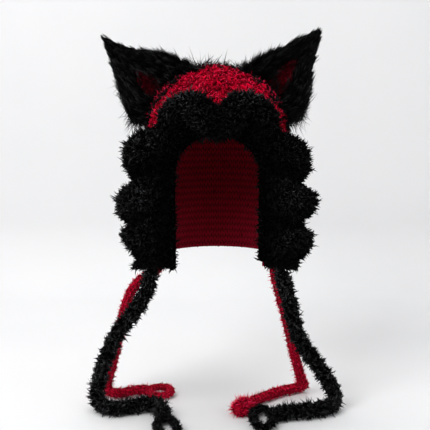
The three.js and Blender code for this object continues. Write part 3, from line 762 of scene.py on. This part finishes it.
def stitchPlaces():
    # rows of stitches down the hood, as many in each as its girth holds: for each stitch its
    # place, the way up and the way off the hood
    even = np.linspace(-1, 1, 361)
    stepUp, stepRound = 2.0, 0.002  # how far off the places are that give the ways
    found = []
    for number, run in enumerate(np.arange(stitch["row"] * 0.7, meridian()[0][-1] - 1, stitch["row"])):
        girth = runAlong(hoodPoints(np.full(len(even), run), even))
        count = max(int(round(girth[-1] / stitch["width"])), 5)
        shift = 0.75 if number % 2 else 0.5
        turn = np.interp((np.arange(count) + shift) / count * girth[-1], girth, even)
        here = hoodPoints(np.full(count, run), turn)
        above = hoodPoints(np.full(count, run - stepUp), turn)
        beside = hoodPoints(np.full(count, run), turn + stepRound)
        up = unit(above - here)
        square = unit(np.cross(up, unit(beside - here)))
        outward = here - [0, 0, widestZ]
        outward[:, 2] = np.maximum(outward[:, 2], 0)
        square = square * np.sign((square * outward).sum(axis=1, keepdims=True))
        found.append(np.stack([here, up, square]))
    places, ups, squares = np.concatenate(found, axis=1)
    clear = fromOpening(places) > stitch["bare"]
    return places[clear], ups[clear], squares[clear]


def stitchLegs(side, places, ups, squares):
    # one leg of each stitch: three rings of four points and two ends, and its middle and ways
    acrosses = np.cross(ups, squares)
    tilt = math.radians(stitch["lean"]) * side + random.normal(0, stitch["unevenLean"], len(places))
    along = ups * np.cos(tilt)[:, None] + acrosses * np.sin(tilt)[:, None]
    across = np.cross(along, squares)
    middle = (places + acrosses * (side * stitch["width"] / 4) - squares * stitch["sunk"]
              + random.normal(0, stitch["unevenPlace"], places.shape))
    size = random.uniform(0.8, 1.25, len(places))[:, None, None]
    run = np.array([-0.62, 0.0, 0.62])[None, :, None, None]
    wide = np.array([0.72, 1.0, 0.72])[None, :, None, None]
    angle = (np.pi / 2 * np.arange(4))[None, None, :, None]
    ring = (run * stitch["legHalf"] * along[:, None, None]
            + wide * np.cos(angle) * stitch["halfWidth"] * across[:, None, None]
            + wide * np.sin(angle) * stitch["halfHeight"] * squares[:, None, None])
    ring = middle[:, None, None] + ring * size[..., None]
    reach = along * stitch["legHalf"] * size[:, 0]
    ends = np.stack([middle - reach, middle + reach], axis=1)
    return (np.concatenate([ring.reshape(len(places), 12, 3), ends], axis=1),
            np.stack([middle, along, across, squares], axis=1))


def addStitches():
    # all legs as one piece, and short curly fuzz on the legs' outer sides
    places, ups, squares = stitchPlaces()
    legs, frames = (np.concatenate(parts) for parts in
                    zip(*(stitchLegs(side, places, ups, squares) for side in (-1, 1))))
    k = np.arange(4)
    beside = (k + 1) % 4
    walls = np.concatenate([np.stack([r + k, r + beside, r + 4 + beside, r + 4 + k], axis=1) for r in (0, 4)])
    caps = np.concatenate([np.stack([np.full(4, 12), beside, k], axis=1),
                           np.stack([np.full(4, 13), 8 + k, 8 + beside], axis=1)])
    start = (np.arange(len(legs)) * 14)[:, None, None]
    # painted light and shade on each leg, read as its tip mark: lightest on its outer side, painted shade on
    # the side against the hood and in the gaps between stitches
    height = np.concatenate([np.tile([0.35, 0.8, 0.35, 0.0], 3), [0.2, 0.2]])
    piece = putMesh("crown_stitches", legs.reshape(-1, 3),
                    [(start + walls).reshape(-1, 4), (start + caps).reshape(-1, 3)], finishes["yarn"],
                    tip=np.tile(height, len(legs)), shade=np.repeat(random.random(len(legs)), 14))
    addFuzz(frames)


def addFuzz(frames):
    # a random leg, place along it and angle round its outer side for each strand
    count = fuzz["strands"]
    middle, along, across, square = frames[random.choice(len(frames), count)].transpose(1, 0, 2)
    run = random.uniform(-0.85, 0.85, (count, 1))
    angle = np.pi / 2 + random.normal(0, 0.6, (count, 1))
    out = across * np.cos(angle) + square * np.sin(angle)
    roots = middle + along * run * stitch["legHalf"] + out * fuzz["rootDepth"] * (1 - run ** 2 * 0.5)
    ahead = along * random.choice([-0.9, 0.9], (count, 1))
    putPile("crown_fuzz", "mohair", "red_yarn", roots, out * 0.55 + ahead, fuzz["pile"])


addHoodShell()
addStitches()
print("hood knitted")

# Frill: a thick plush strip gathered round the face opening into lobes and folds
frill = {"width": 80.0, "thickness": 13.0, "core": 7.0, "rows": 330, "columns": 16, "sagging": 0.6,
         "belowHem": 4.0, "ending": 0.02, "strands": 7000,
         "binding": 6.0, "bindingSides": 12, "bindingStep": 3.0, "bindingDrop": 6.0,
         "bindingStrands": 1000,
         "pile": {"length": (5.0, 7.8), "width": 2.6, "mess": 0.45, "clump": 6.0, "pull": 0.85, "curl": 0.6,
                  "fall": 0.35, "segments": 2, "taper": 0.3, "blunt": 0.45}}
# along the rim, then out from the face, to the front, the swell of its middle outwards and
# its rise off the hood: a lobe rises and a fold between two lobes lies back; last the sag,
# how much further along the rim a fold starts than it ends at the free edge
frillTable = [
    (0.0, 0.64, 0.1, 0.05, 0.3, 0.0), (0.03, 0.6, 0.1, 0.05, 0.25, 0.01),
    (0.066, 0.78, 0.1, 0.05, 0.45, 0.025), (0.1, 0.88, 0.06, 0.05, 0.48, 0.04),
    (0.13, 0.74, 0.08, 0.0, 0.12, 0.047), (0.162, 0.93, 0.04, 0.05, 0.5, 0.047),
    (0.222, 0.93, 0.0, 0.05, 0.5, 0.047), (0.271, 0.62, 0.08, 0.0, 0.08, 0.047),
    (0.304, 0.84, 0.0, 0.05, 0.5, 0.047), (0.344, 0.8, 0.04, 0.08, 0.5, 0.047),
    (0.378, 0.5, 0.1, 0.05, 0.2, 0.03), (0.405, 0.66, 0.18, 0.1, 0.45, 0.01),
    (0.435, 0.74, 0.34, 0.06, 0.0, 0.0), (0.462, 0.7, 0.26, -0.36, 0.42, 0.0),
    (0.482, 0.56, 0.2, -0.6, 0.56, 0.0), (0.5, 0.38, 0.16, -0.62, 0.58, 0.0),
    (0.518, 0.56, 0.2, -0.6, 0.56, 0.0), (0.538, 0.7, 0.26, -0.36, 0.42, 0.0),
    (0.568, 0.74, 0.34, 0.06, 0.0, 0.0), (0.598, 0.68, 0.18, 0.1, 0.45, -0.01),
    (0.63, 0.5, 0.1, 0.05, 0.2, -0.025), (0.668, 0.78, 0.04, 0.08, 0.5, -0.045),
    (0.71, 0.78, 0.0, 0.05, 0.5, -0.047), (0.741, 0.6, 0.08, 0.0, 0.08, -0.047),
    (0.776, 0.9, 0.0, 0.05, 0.5, -0.035), (0.826, 0.89, 0.04, 0.05, 0.5, -0.01),
    (0.862, 0.66, 0.08, 0.0, 0.12, 0.0), (0.898, 0.87, 0.06, 0.05, 0.48, 0.01),
    (0.948, 0.8, 0.1, 0.05, 0.35, 0.01), (0.98, 0.62, 0.1, 0.05, 0.25, 0.0),
    (1.0, 0.56, 0.1, 0.05, 0.25, 0.0)]
# painted light and shade on the frill's pile: the rise and the reach to the front that are painted
# fully light, how much painted shade darkens the puff under the middle of the arch and how wide, and the two
# front hollows with painted shadow, as places along the rim and out from it, with their size along and out;
# last the way to the light, away from which the cloth gets painted shade
frillLight = {"rise": 0.54, "front": 0.27, "puff": 0.65, "puffHalf": 0.025,
              "hollows": [(0.427, 0.45), (0.58, 0.4)], "hollowAlong": 0.02, "hollowOut": 0.22,
              "skyward": unit(np.array([-0.45, -0.5, 0.75]))}


def rimAt(share):
    # place and way out along the rim: up one side, over the arch, down the other
    radius = hood["openingWidth"]
    straight, arch = archFootZ - hemZ, math.pi * radius
    run = share * (2 * straight + arch)
    turn = np.pi * (1 - np.clip((run - straight) / arch, 0, 1))
    below = np.minimum(run - straight, 0) - np.maximum(run - straight - arch, 0)
    x, z = radius * np.cos(turn), archFootZ + radius * np.sin(turn) + below
    way = np.stack([np.cos(turn), np.zeros_like(turn), np.sin(turn)], axis=-1)
    return np.stack([x, np.zeros_like(x), z], axis=-1) + way * frill["thickness"] / 2, way


def frillRow(s, t):
    # the table's row at a place: over the outer part of the frill each fold comes down from
    # where it starts on the rim to its own place at the free edge
    sag = readTable(frillTable, s)[..., 4] * np.clip((1 - t) / frill["sagging"], 0, 1)
    return readTable(frillTable, s - sag)


def frillPoint(s, t):
    # curve of three points, the rim, a middle square off the hood and the free edge:
    # rim x (1 - t) squared + middle x 2t (1 - t) + edge x t squared
    place, way = rimAt(s)
    x, z = place[..., 0], place[..., 2]
    place[..., 1] = hoodFront(x, z)
    slopeX = (hoodFront(x + 1, z) - hoodFront(x - 1, z)) / 2
    slopeZ = (hoodFront(x, z + 1) - hoodFront(x, z - 1)) / 2
    square = unit(np.stack([slopeX, -np.ones_like(x), slopeZ], axis=-1))
    out, front, swell, rise = np.moveaxis(frillRow(s, t)[..., :4] * frill["width"], -1, 0)
    edge = place + way * out[..., None] - np.array([0, 1, 0]) * front[..., None]
    middle = place + square * rise[..., None] + way * swell[..., None]
    root = place - square * 2
    # the gathered cloth also puckers: three waves of its own between the folds
    pucker = (np.sin(s * 190) + 0.7 * np.sin(s * 323 + 1.3) + 0.5 * np.sin(s * 97 + t * 6)) * 1.6
    pucker = pucker * t * (1.2 - t)
    t = t[..., None]
    return root * (1 - t) ** 2 + middle * 2 * t * (1 - t) + edge * t ** 2 + square * pucker[..., None]


def paintedFrillLight(s, t):
    # painted light: how much a place is painted as catching the light, by its rise off the hood or its reach
    # to the front, with painted shade in the puff that is rolled under the middle of the arch and painted
    # shadow in the two hollows
    _, front, _, rise = np.moveaxis(frillRow(s, t)[..., :4], -1, 0)
    bright = np.maximum(rise / frillLight["rise"], front / frillLight["front"])
    bright = bright * (1 - frillLight["puff"] * np.exp(-((s - 0.5) / frillLight["puffHalf"]) ** 2))
    for hollowS, hollowT in frillLight["hollows"]:
        along, out = (s - hollowS) / frillLight["hollowAlong"], (t - hollowT) / frillLight["hollowOut"]
        bright = bright * (1 - np.exp(-along ** 2 - out ** 2))
    return bright


def leanOnFrill(at):
    # off the cloth and outwards, more so near the free edge, and down at the frill's two ends
    outwards = 0.3 + 1.5 * np.clip((at["t"] - 0.85) / 0.15, 0, 1)
    return at["square"] + at["out"] * outwards[:, None] - np.array([0, 0, 1.8]) * at["ending"][:, None]


def paintedLightOnFrill(at):
    # painted shade on the tips away from the crests, near the rim, and where the cloth faces away from the
    # light
    crest = 0.06 + 0.94 * np.clip(at["bright"], 0, 1.2) ** 1.5
    fromRim = 0.3 + 0.7 * np.clip((at["t"] - 0.1) / 0.4, 0, 1)
    return crest * fromRim * (0.55 + 0.45 * np.clip(unit(at["square"]) @ frillLight["skyward"] * 1.4, 0, 1))


def addFrill():
    # a cloth with a rounded free edge, and pile on both faces: more on the free edge and the ends
    grid, s, t = surfaceGrid(frillPoint, frill["rows"], frill["columns"])
    _, out, square = gridWays(grid)
    half = frill["core"] / 2 * np.sqrt(np.clip(1 - np.clip((t - 0.88) / 0.12, 0, 1) ** 2, 0.02, 1))
    upper, lower = grid + square * half[..., None], grid - square * half[..., None]
    for face in (upper, lower):
        face[..., 2] = np.maximum(face[..., 2], hemZ - frill["belowHem"])
    points, faces = closedSheet(upper, lower)
    cloth = putMesh("ruffle_cloth", points, faces, finishes["plushGround"])
    facesOut(cloth)
    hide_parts("ruffle")
    # painted light and shade for the pile's tips
    bright = paintedFrillLight(s, t)
    ending = np.clip((frill["ending"] - np.minimum(s, 1 - s)) / frill["ending"], 0, 1)
    fields = {"place": frontAndBack(upper, lower), "square": frontAndBack(square, -square)}
    for key, field in (("out", out), ("t", t), ("bright", bright), ("ending", ending)):
        fields[key] = frontAndBack(field, field)
    weight = (1 + 1.2 * (fields["t"] > 0.9)) * (1 + 2 * fields["ending"])
    third = frill["rows"] // 3
    parts = {"left": slice(0, third + 1), "top": slice(third, 2 * third + 1), "right": slice(2 * third, None)}
    for name, rows in parts.items():
        part = {key: field[rows] for key, field in fields.items()}
        # each piece's pile tips get the painted light and shade
        growPile(f"ruffle_pile_{name}", "plush", "black_plush", part, frill["strands"], frill["pile"],
                 leanOnFrill, weight=weight[rows], light=paintedLightOnFrill)


def addBinding():
    # a dark plush binding hides the cut edge of the hood
    place, way = rimAt(np.linspace(0, 1, 180))
    path = place - way * (frill["thickness"] / 2 + 1)
    path[:, 1] = hoodFront(path[:, 0], path[:, 2]) + 1.5
    path[[0, -1], 2] -= frill["bindingDrop"]
    path = splinePath(path[::4], frill["bindingStep"])
    radius = frill["binding"] * roundedEnds(path, frill["binding"])[:, None] * np.ones(frill["bindingSides"])
    rings = tubeRings(path, radius)
    points, faces = closedRings(rings)
    binding = putMesh("ruffle_binding", points, faces, finishes["plushGround"])
    facesOut(binding)
    # painted shade: the binding's pile tips are kept darker, as the frill's are near its rim
    addPileOnTube("ruffle_binding_pile", "plush", "black_plush", rings, path, frill["bindingStrands"],
                  frill["pile"], light=0.3)


addFrill()
addBinding()
print("frill gathered")

# Ears: cupped triangles of long black fur with a dark red patch in the hollow
earForm = {"thickness": 15.0, "core": 0.5, "thinning": 0.7, "cup": 32.0, "baseFront": 26.0, "tipFront": 20.0,
           "sink": 8.0, "tipWidth": 5.0, "rows": 48, "columns": 36}
# the degrees of the foot's two ends from the top of the dome, the tip, the outline: up the ear,
# how far its outer and its inner edge bow out; and the red patch: its middle and half sizes
ears = {
    "left": {"side": -1, "inner": 16.0, "outer": 80.0, "tipOut": 176.0, "tipUp": 51.0,
             "outline": [(0, 0, 0), (0.13, 0.15, 0.04), (0.4, 0.13, 0.055), (0.62, 0.08, 0),
                         (0.82, 0.035, -0.04), (1, 0, 0)],
             "red": (0.23, 0.60), "redHalf": (0.21, 0.12)},
    "right": {"side": 1, "inner": 20.0, "outer": 80.0, "tipOut": 161.0, "tipUp": 63.0,
              "outline": [(0, 0, 0), (0.13, 0.14, 0.02), (0.4, 0.12, 0.03), (0.62, 0.06, 0.02),
                          (0.82, 0.03, 0.01), (1, 0, 0)],
              "red": (0.27, 0.52), "redHalf": (0.24, 0.17)},
}
earFur = {"strands": 4200, "edge": 1000, "wisps": 240, "hairs": 200, "fringe": 1400, "fringeEnd": 86.0,
          "body": {"length": (20.0, 38.0), "width": 1.5, "mess": 0.1, "clump": 11.0, "pull": 0.65,
                   "curl": 0.08, "segments": 3},
          "locks": {"length": (12.0, 23.0), "width": 1.1, "mess": 0.12, "clump": 15.0, "pull": 0.92,
                    "curl": 0.1, "segments": 3},
          "wisp": {"length": (10.0, 21.0), "width": 1.2, "mess": 0.5, "clump": 20.0, "pull": 0.1, "curl": 0.4,
                   "droop": 0.4, "segments": 4},
          "hair": {"length": (10.0, 23.0), "width": 1.7, "mess": 0.4, "clump": 20.0, "pull": 0.1, "curl": 0.6,
                   "droop": 0.3, "segments": 4},
          "fringeHair": {"length": (12.0, 22.0), "width": 2.2, "mess": 0.12, "clump": 9.0, "pull": 0.6,
                         "curl": 0.1, "segments": 2}}
# how far forward the fur at the foot of an ear laps over the crown: degrees from the top, y
fringeFront = [(14, 12), (24, 0), (34, -22), (52, -37), (68, -30), (80, -16), (90, -4)]
earPatch = {"thickness": 1.2, "lift": 0.3, "spread": 1.1, "rows": 20, "columns": 16,
            "strands": 1500, "border": 560,
            "pile": {"length": (5.0, 9.0), "width": 1.4, "mess": 0.3, "clump": 5.0, "pull": 0.6, "curl": 0.3,
                     "segments": 2}}


def cupBack(across):
    # y along the foot of an ear: its two ends forward, its middle back
    return -earForm["baseFront"] + earForm["cup"] * (1 - across ** 2)


def domeDepth(y):
    return np.where(y < 0, hood["frontDepth"], hood["backDepth"])


def domeAt(side, degrees, y, sink=0.0):
    # places on the dome, or sunk into it: its round at y = 0, degrees from the top, smaller in
    # front and behind by the root of (1 - the square of y over the depth)
    shrink = np.sqrt(1 - (y / domeDepth(y)) ** 2)
    angle = np.radians(degrees)
    return np.stack([side * (hood["halfWidth"] - sink) * shrink * np.sin(angle), y,
                     widestZ + (hood["domeHeight"] - sink) * shrink * np.cos(angle)], axis=-1)


def earSurface(ear):
    # base on the hood's round, drawn up in straight lines to the tip, its two edges bowed out:
    # base + (tip - base) x s + the way out x the edge's length x its bow x across squared
    def surface(s, t):
        across = 2 * t - 1
        baseY = cupBack(across)
        base = domeAt(ear["side"], ear["inner"] + (ear["outer"] - ear["inner"]) * t, baseY, earForm["sink"])
        corner = domeAt(ear["side"], np.where(across > 0, ear["outer"], ear["inner"]), baseY, earForm["sink"])
        tip = np.array([ear["side"] * ear["tipOut"], -earForm["tipFront"], ear["tipUp"]])
        edge = tip - corner
        up = np.clip(s, 0, 1)
        bows = readTable(ear["outline"], up)
        bow = np.linalg.norm(edge, axis=-1) * across ** 2 * np.where(across > 0, bows[..., 0], bows[..., 1])
        turn = np.where(across > 0, 1.0, -1.0)
        away = unit(np.stack([ear["side"] * turn * edge[..., 2], np.zeros_like(bow),
                              -turn * np.abs(edge[..., 0])], axis=-1))
        point = base + (tip - base) * up[..., None]
        return point + away * (bow + up * earForm["tipWidth"] * np.abs(across) / 2)[..., None]
    return surface


def earHalf(s):
    # half the thickness of the ear's backing, less towards the tip
    return earForm["thickness"] * (1 - earForm["thinning"] * s) / 2 * earForm["core"]


def addEar(name, ear):
    surface = earSurface(ear)
    grid, s, t = surfaceGrid(surface, earForm["rows"], earForm["columns"])
    up, across, square = gridWays(grid)
    toFront = -ear["side"] * square
    border = np.minimum(np.minimum(t, 1 - t) / 0.1, 1)
    half = earHalf(s) * np.sqrt(np.clip(border * (2 - border), 0.05, 1))
    front, back = grid + toFront * half[..., None], grid - toFront * half[..., None]
    points, faces = closedSheet(front, back)
    shell = putMesh(f"ear_{name}_backing", points, faces, finishes["plushGround"])
    facesOut(shell)
    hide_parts(f"ear_{name}")
    out = across * np.clip((2 * t - 1) * 1.6, -1, 1)[..., None] ** 3
    addEarFur(name, ear, front, back, {"square": toFront, "up": up, "out": out, "s": s, "t": t})
    addEarLocks(name, {"place": grid, "up": up, "out": out, "s": s, "t": t})
    addFringe(name, ear)
    addShedHairs(name, ear)
    addLining(name, ear, surface)


def addEarFur(name, ear, front, back, marks):
    # combed fur on both faces: towards the tip, and outwards near the two edges
    s, t = marks["s"], marks["t"]
    fields = {"place": frontAndBack(front, back), "square": frontAndBack(marks["square"], -marks["square"])}
    fields.update({key: frontAndBack(marks[key], marks[key]) for key in ("up", "out", "s", "t")})
    fields["front"] = frontAndBack(np.ones_like(s), np.zeros_like(s))
    weight = frontAndBack(np.clip(1.3 * inPatch(ear, s, t) - 0.3, 0.07, 1), np.ones_like(s))

    def share(at):
        # shorter to the tip, on the front, and at the foot of the outer edge
        low = np.clip((0.2 - at["s"]) / 0.2, 0, 1) * np.clip((at["t"] - 0.7) / 0.3, 0, 1)
        return (1 - 0.68 * at["s"]) * np.where(at["front"] > 0.5, 0.85, 1.0) * (1 - 0.6 * low)

    growPile(f"ear_{name}_fur", "fur", "black_fur", fields, earFur["strands"], earFur["body"],
             lean=lambda at: at["up"] + 0.18 * at["square"] + 0.3 * at["out"], weight=weight, share=share)


def addEarLocks(name, fields):
    # spiky locks along the outline and the foot of the outer corner, where they point down
    s, t = fields["s"], fields["t"]
    fields["low"] = np.clip((0.25 - s) / 0.25, 0, 1) * (t > 0.5)
    onRim = (t < 0.06) | (t > 0.94) | ((s < 0.03) & (t > 0.6))
    rim = np.where(onRim, 1.0 + fields["low"] + (t < 0.5) * (s < 0.5), 0.0)

    def lean(at):
        out = 0.75 - 0.7 * at["s"] + 0.6 * (at["t"] < 0.5) * (at["s"] < 0.5)
        return at["out"] * out[:, None] + at["up"] * (0.9 - 1.5 * at["low"])[:, None]

    def share(at):
        return (1 - 0.85 * at["s"] - 0.35 * at["low"]) * (1 + 0.35 * (at["t"] < 0.5))

    growPile(f"ear_{name}_locks", "fur", "black_fur", fields, earFur["edge"], earFur["locks"], lean,
             weight=rim * (1.2 - s), share=share)
    # stray hairs at the foot of the outer edge, and a few shorter ones further up
    foot = np.where(t > 0.93, np.where(s < 0.2, 1.0, 0.22 * (s < 0.6)), 0.0)
    growPile(f"ear_{name}_wisps", "fur", "black_fur", fields, earFur["wisps"], earFur["wisp"],
             lean=lambda at: at["out"], weight=foot, share=lambda at: np.where(at["s"] < 0.2, 1.0, 0.6))


def domeSquare(places):
    # ways square off the dome: each measure over the square of the dome's size in that way
    x, y, z = places.T
    return unit(np.stack([x / hood["halfWidth"] ** 2, y / domeDepth(y) ** 2,
                          (z - widestZ) / hood["domeHeight"] ** 2], axis=1))


def addFringe(name, ear):
    # the fur at the foot of the hollow laps forward over the crown: it lies along the dome
    count = earFur["fringe"]
    degrees = random.uniform(ear["inner"], earFur["fringeEnd"], count)
    across = np.clip(2 * (degrees - ear["inner"]) / (ear["outer"] - ear["inner"]) - 1, -1, 1)
    back, front = cupBack(across), readTable(fringeFront, degrees)[:, 0]
    roots = domeAt(ear["side"], degrees, back + (front - back) * random.random(count) ** 1.2)
    square = domeSquare(roots)
    ways = np.array([-0.35 * ear["side"], -1.0, -0.1]) + np.zeros((count, 3))
    ways = unit(ways - (ways * square).sum(axis=1, keepdims=True) * square) + 0.14 * square
    putPile(f"ear_{name}_fringe", "fur", "black_fur", roots, ways, earFur["fringeHair"])


def addShedHairs(name, ear):
    # long hairs from the inner foot of an ear, bent over the top of the crown: they stand on
    # the hood's round, fewer towards its middle
    count = earFur["hairs"]
    share = random.random(count) ** 1.5
    roots = domeAt(ear["side"], ear["inner"] * (1.15 - 1.1 * share), random.uniform(-22, 12, count))
    ways = np.array([-0.4 * ear["side"], -0.35, 0.75]) + random.normal(0, 0.25, (count, 3))
    putPile(f"ear_{name}_hairs", "fur", "black_fur", roots, ways, earFur["hair"], 1 - 0.35 * share)


def inPatch(ear, s, t):
    # below 1 where the red pile shows: an oval, open towards the foot of the ear
    (midS, midT), (halfS, halfT) = ear["red"], ear["redHalf"]
    return (np.maximum(s - midS, 0) / halfS) ** 2 + ((t - midT) / halfT) ** 2


def addLining(name, ear, surface):
    (midS, midT), (halfS, halfT) = ear["red"], ear["redHalf"]

    def patch(s, t):
        # the even grid drawn in to an oval: u x root of (1 - half of v squared), and v likewise
        u, v = 2 * s - 1, 2 * t - 1
        return surface(midS + halfS * u * np.sqrt(1 - v ** 2 / 2),
                       midT + halfT * earPatch["spread"] * v * np.sqrt(1 - u ** 2 / 2))

    grid, s, t = surfaceGrid(patch, earPatch["rows"], earPatch["columns"])
    up, _, square = gridWays(grid)
    square = -ear["side"] * square
    lift = earHalf(midS + halfS * (2 * s - 1)) + earPatch["lift"]
    over = grid + square * (lift + earPatch["thickness"])[..., None]
    points, faces = closedSheet(over, grid + square * (lift - 1)[..., None])
    pad = putMesh(f"ear_{name}_patch", points, faces, finishes["liningGround"])
    facesOut(pad)
    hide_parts(f"ear_lining_{name}")
    fields = {"place": over, "square": square, "up": up}
    growPile(f"ear_{name}_patch_pile", "lining", "dark_red_lining", fields, earPatch["strands"],
             earPatch["pile"], lean=lambda at: at["up"] + 0.6 * at["square"])
    # black fur of the ear over the border of the patch
    border = np.clip((np.maximum(np.abs(2 * s - 1), np.abs(2 * t - 1)) - 0.6) / 0.4, 0, 1)
    growPile(f"ear_{name}_patch_border", "fur", "black_fur", fields, earPatch["border"], earFur["locks"],
             lean=lambda at: at["up"] + 0.35 * at["square"], weight=border, share=lambda at: 0.7)


for earName, ear in ears.items():
    addEar(earName, ear)
print("ears furred")

# Stage: a pale table that runs up into a pale wall, soft light from the upper left
stage = {"floorZ": -548.0, "wallY": 760.0, "round": 160.0, "front": -2600.0, "height": 2600.0, "half": 4000.0,
         "darker": (0.78, 0.785, 0.79), "lighter": (0.81, 0.81, 0.815), "world": 0.41, "room": 0.85}
# in metres and watts: where a lamp hangs, what it points to, its width and its power
lamps = {
    "key": {"place": (-1.3, -1.6, 1.5), "target": (0, 0, -0.25), "size": 1.4, "power": 46.0},
    "wall": {"place": (0.0, -0.1, 1.6), "target": (0, 1.2, 0.1), "size": 1.6, "power": 6.0},
    "top": {"place": (-0.2, 0.2, 2.0), "target": (0, 0.1, -0.3), "size": 1.2, "power": 12.0},
    "fill": {"place": (1.7, -1.5, 0.6), "target": (0, 0, -0.25), "size": 1.6, "power": 7.0},
}


def stageMaterial():
    # pale and nearly plain; seen from behind the wall is clear
    material, tree, shader = newMaterial("paleGround")
    grain = addTexture(tree, "ShaderNodeTexNoise", Scale=3.0, Detail=2.0).outputs["Fac"]
    colour = ramp(tree, grain, [(0.3, stage["darker"]), (0.7, stage["lighter"])])
    tree.links.new(colour, shader.inputs["Base Color"])
    shader.inputs["Roughness"].default_value = 0.9
    mix = addNode(tree, "ShaderNodeMixShader")
    behind = addNode(tree, "ShaderNodeNewGeometry").outputs["Backfacing"]
    clear = addNode(tree, "ShaderNodeBsdfTransparent").outputs["BSDF"]
    for socket, source in zip(mix.inputs, (behind, shader.outputs["BSDF"], clear)):
        tree.links.new(source, socket)
    tree.links.new(mix.outputs["Shader"], tree.nodes["Material Output"].inputs["Surface"])
    return material


def addStage():
    # floor, a quarter circle and a wall, drawn out sideways
    angle = np.linspace(0, np.pi / 2, 17)
    bendY = stage["wallY"] - stage["round"] + stage["round"] * np.sin(angle)
    bendZ = stage["floorZ"] + stage["round"] * (1 - np.cos(angle))
    y = np.concatenate([[stage["front"]], bendY, [stage["wallY"]]])
    z = np.concatenate([[stage["floorZ"]], bendZ, [stage["height"]]])
    x = np.linspace(-stage["half"], stage["half"], 3)
    points = np.stack([np.tile(x, len(y)), np.repeat(y, 3), np.repeat(z, 3)], axis=1)
    ground = bpy.data.meshes.new("ground")
    ground.from_pydata((points * mm).tolist(), [], gridFaces(len(y) - 1, 2)[:, ::-1].tolist())
    ground.polygons.foreach_set("use_smooth", np.ones(len(ground.polygons), bool))
    ground.materials.append(stageMaterial())
    addObject("ground", ground)


def addLight():
    # the camera sees the room brighter than it shines on the object
    world = bpy.data.worlds.new("softRoom")
    world.use_nodes = True
    tree = world.node_tree
    sky = tree.nodes["Background"]
    sky.inputs["Color"].default_value = (0.98, 0.99, 1.0, 1)
    looking = addNode(tree, "ShaderNodeLightPath").outputs["Is Camera Ray"]
    more = maths(tree, "MULTIPLY", looking, stage["room"] - stage["world"])
    tree.links.new(maths(tree, "ADD", more, stage["world"]), sky.inputs["Strength"])
    bpy.context.scene.world = world
    bpy.context.scene.view_settings.view_transform = "Standard"
    for name, spec in lamps.items():
        light = bpy.data.lights.new(name, "AREA")
        light.energy, light.size = spec["power"], spec["size"]
        lamp = addObject(name, light)
        lamp.location = spec["place"]
        way = Vector(spec["target"]) - Vector(spec["place"])
        lamp.rotation_euler = way.to_track_quat("-Z", "Y").to_euler()


addStage()
addLight()
print("stage set and lit")

shown = [o for o in bpy.data.objects if o.type == "MESH" and not o.hide_render and o.name != "ground"]
triangles = sum(len(p.vertices) - 2 for o in shown for p in o.data.polygons)
print("triangles", triangles, "in", len(shown), "pieces")
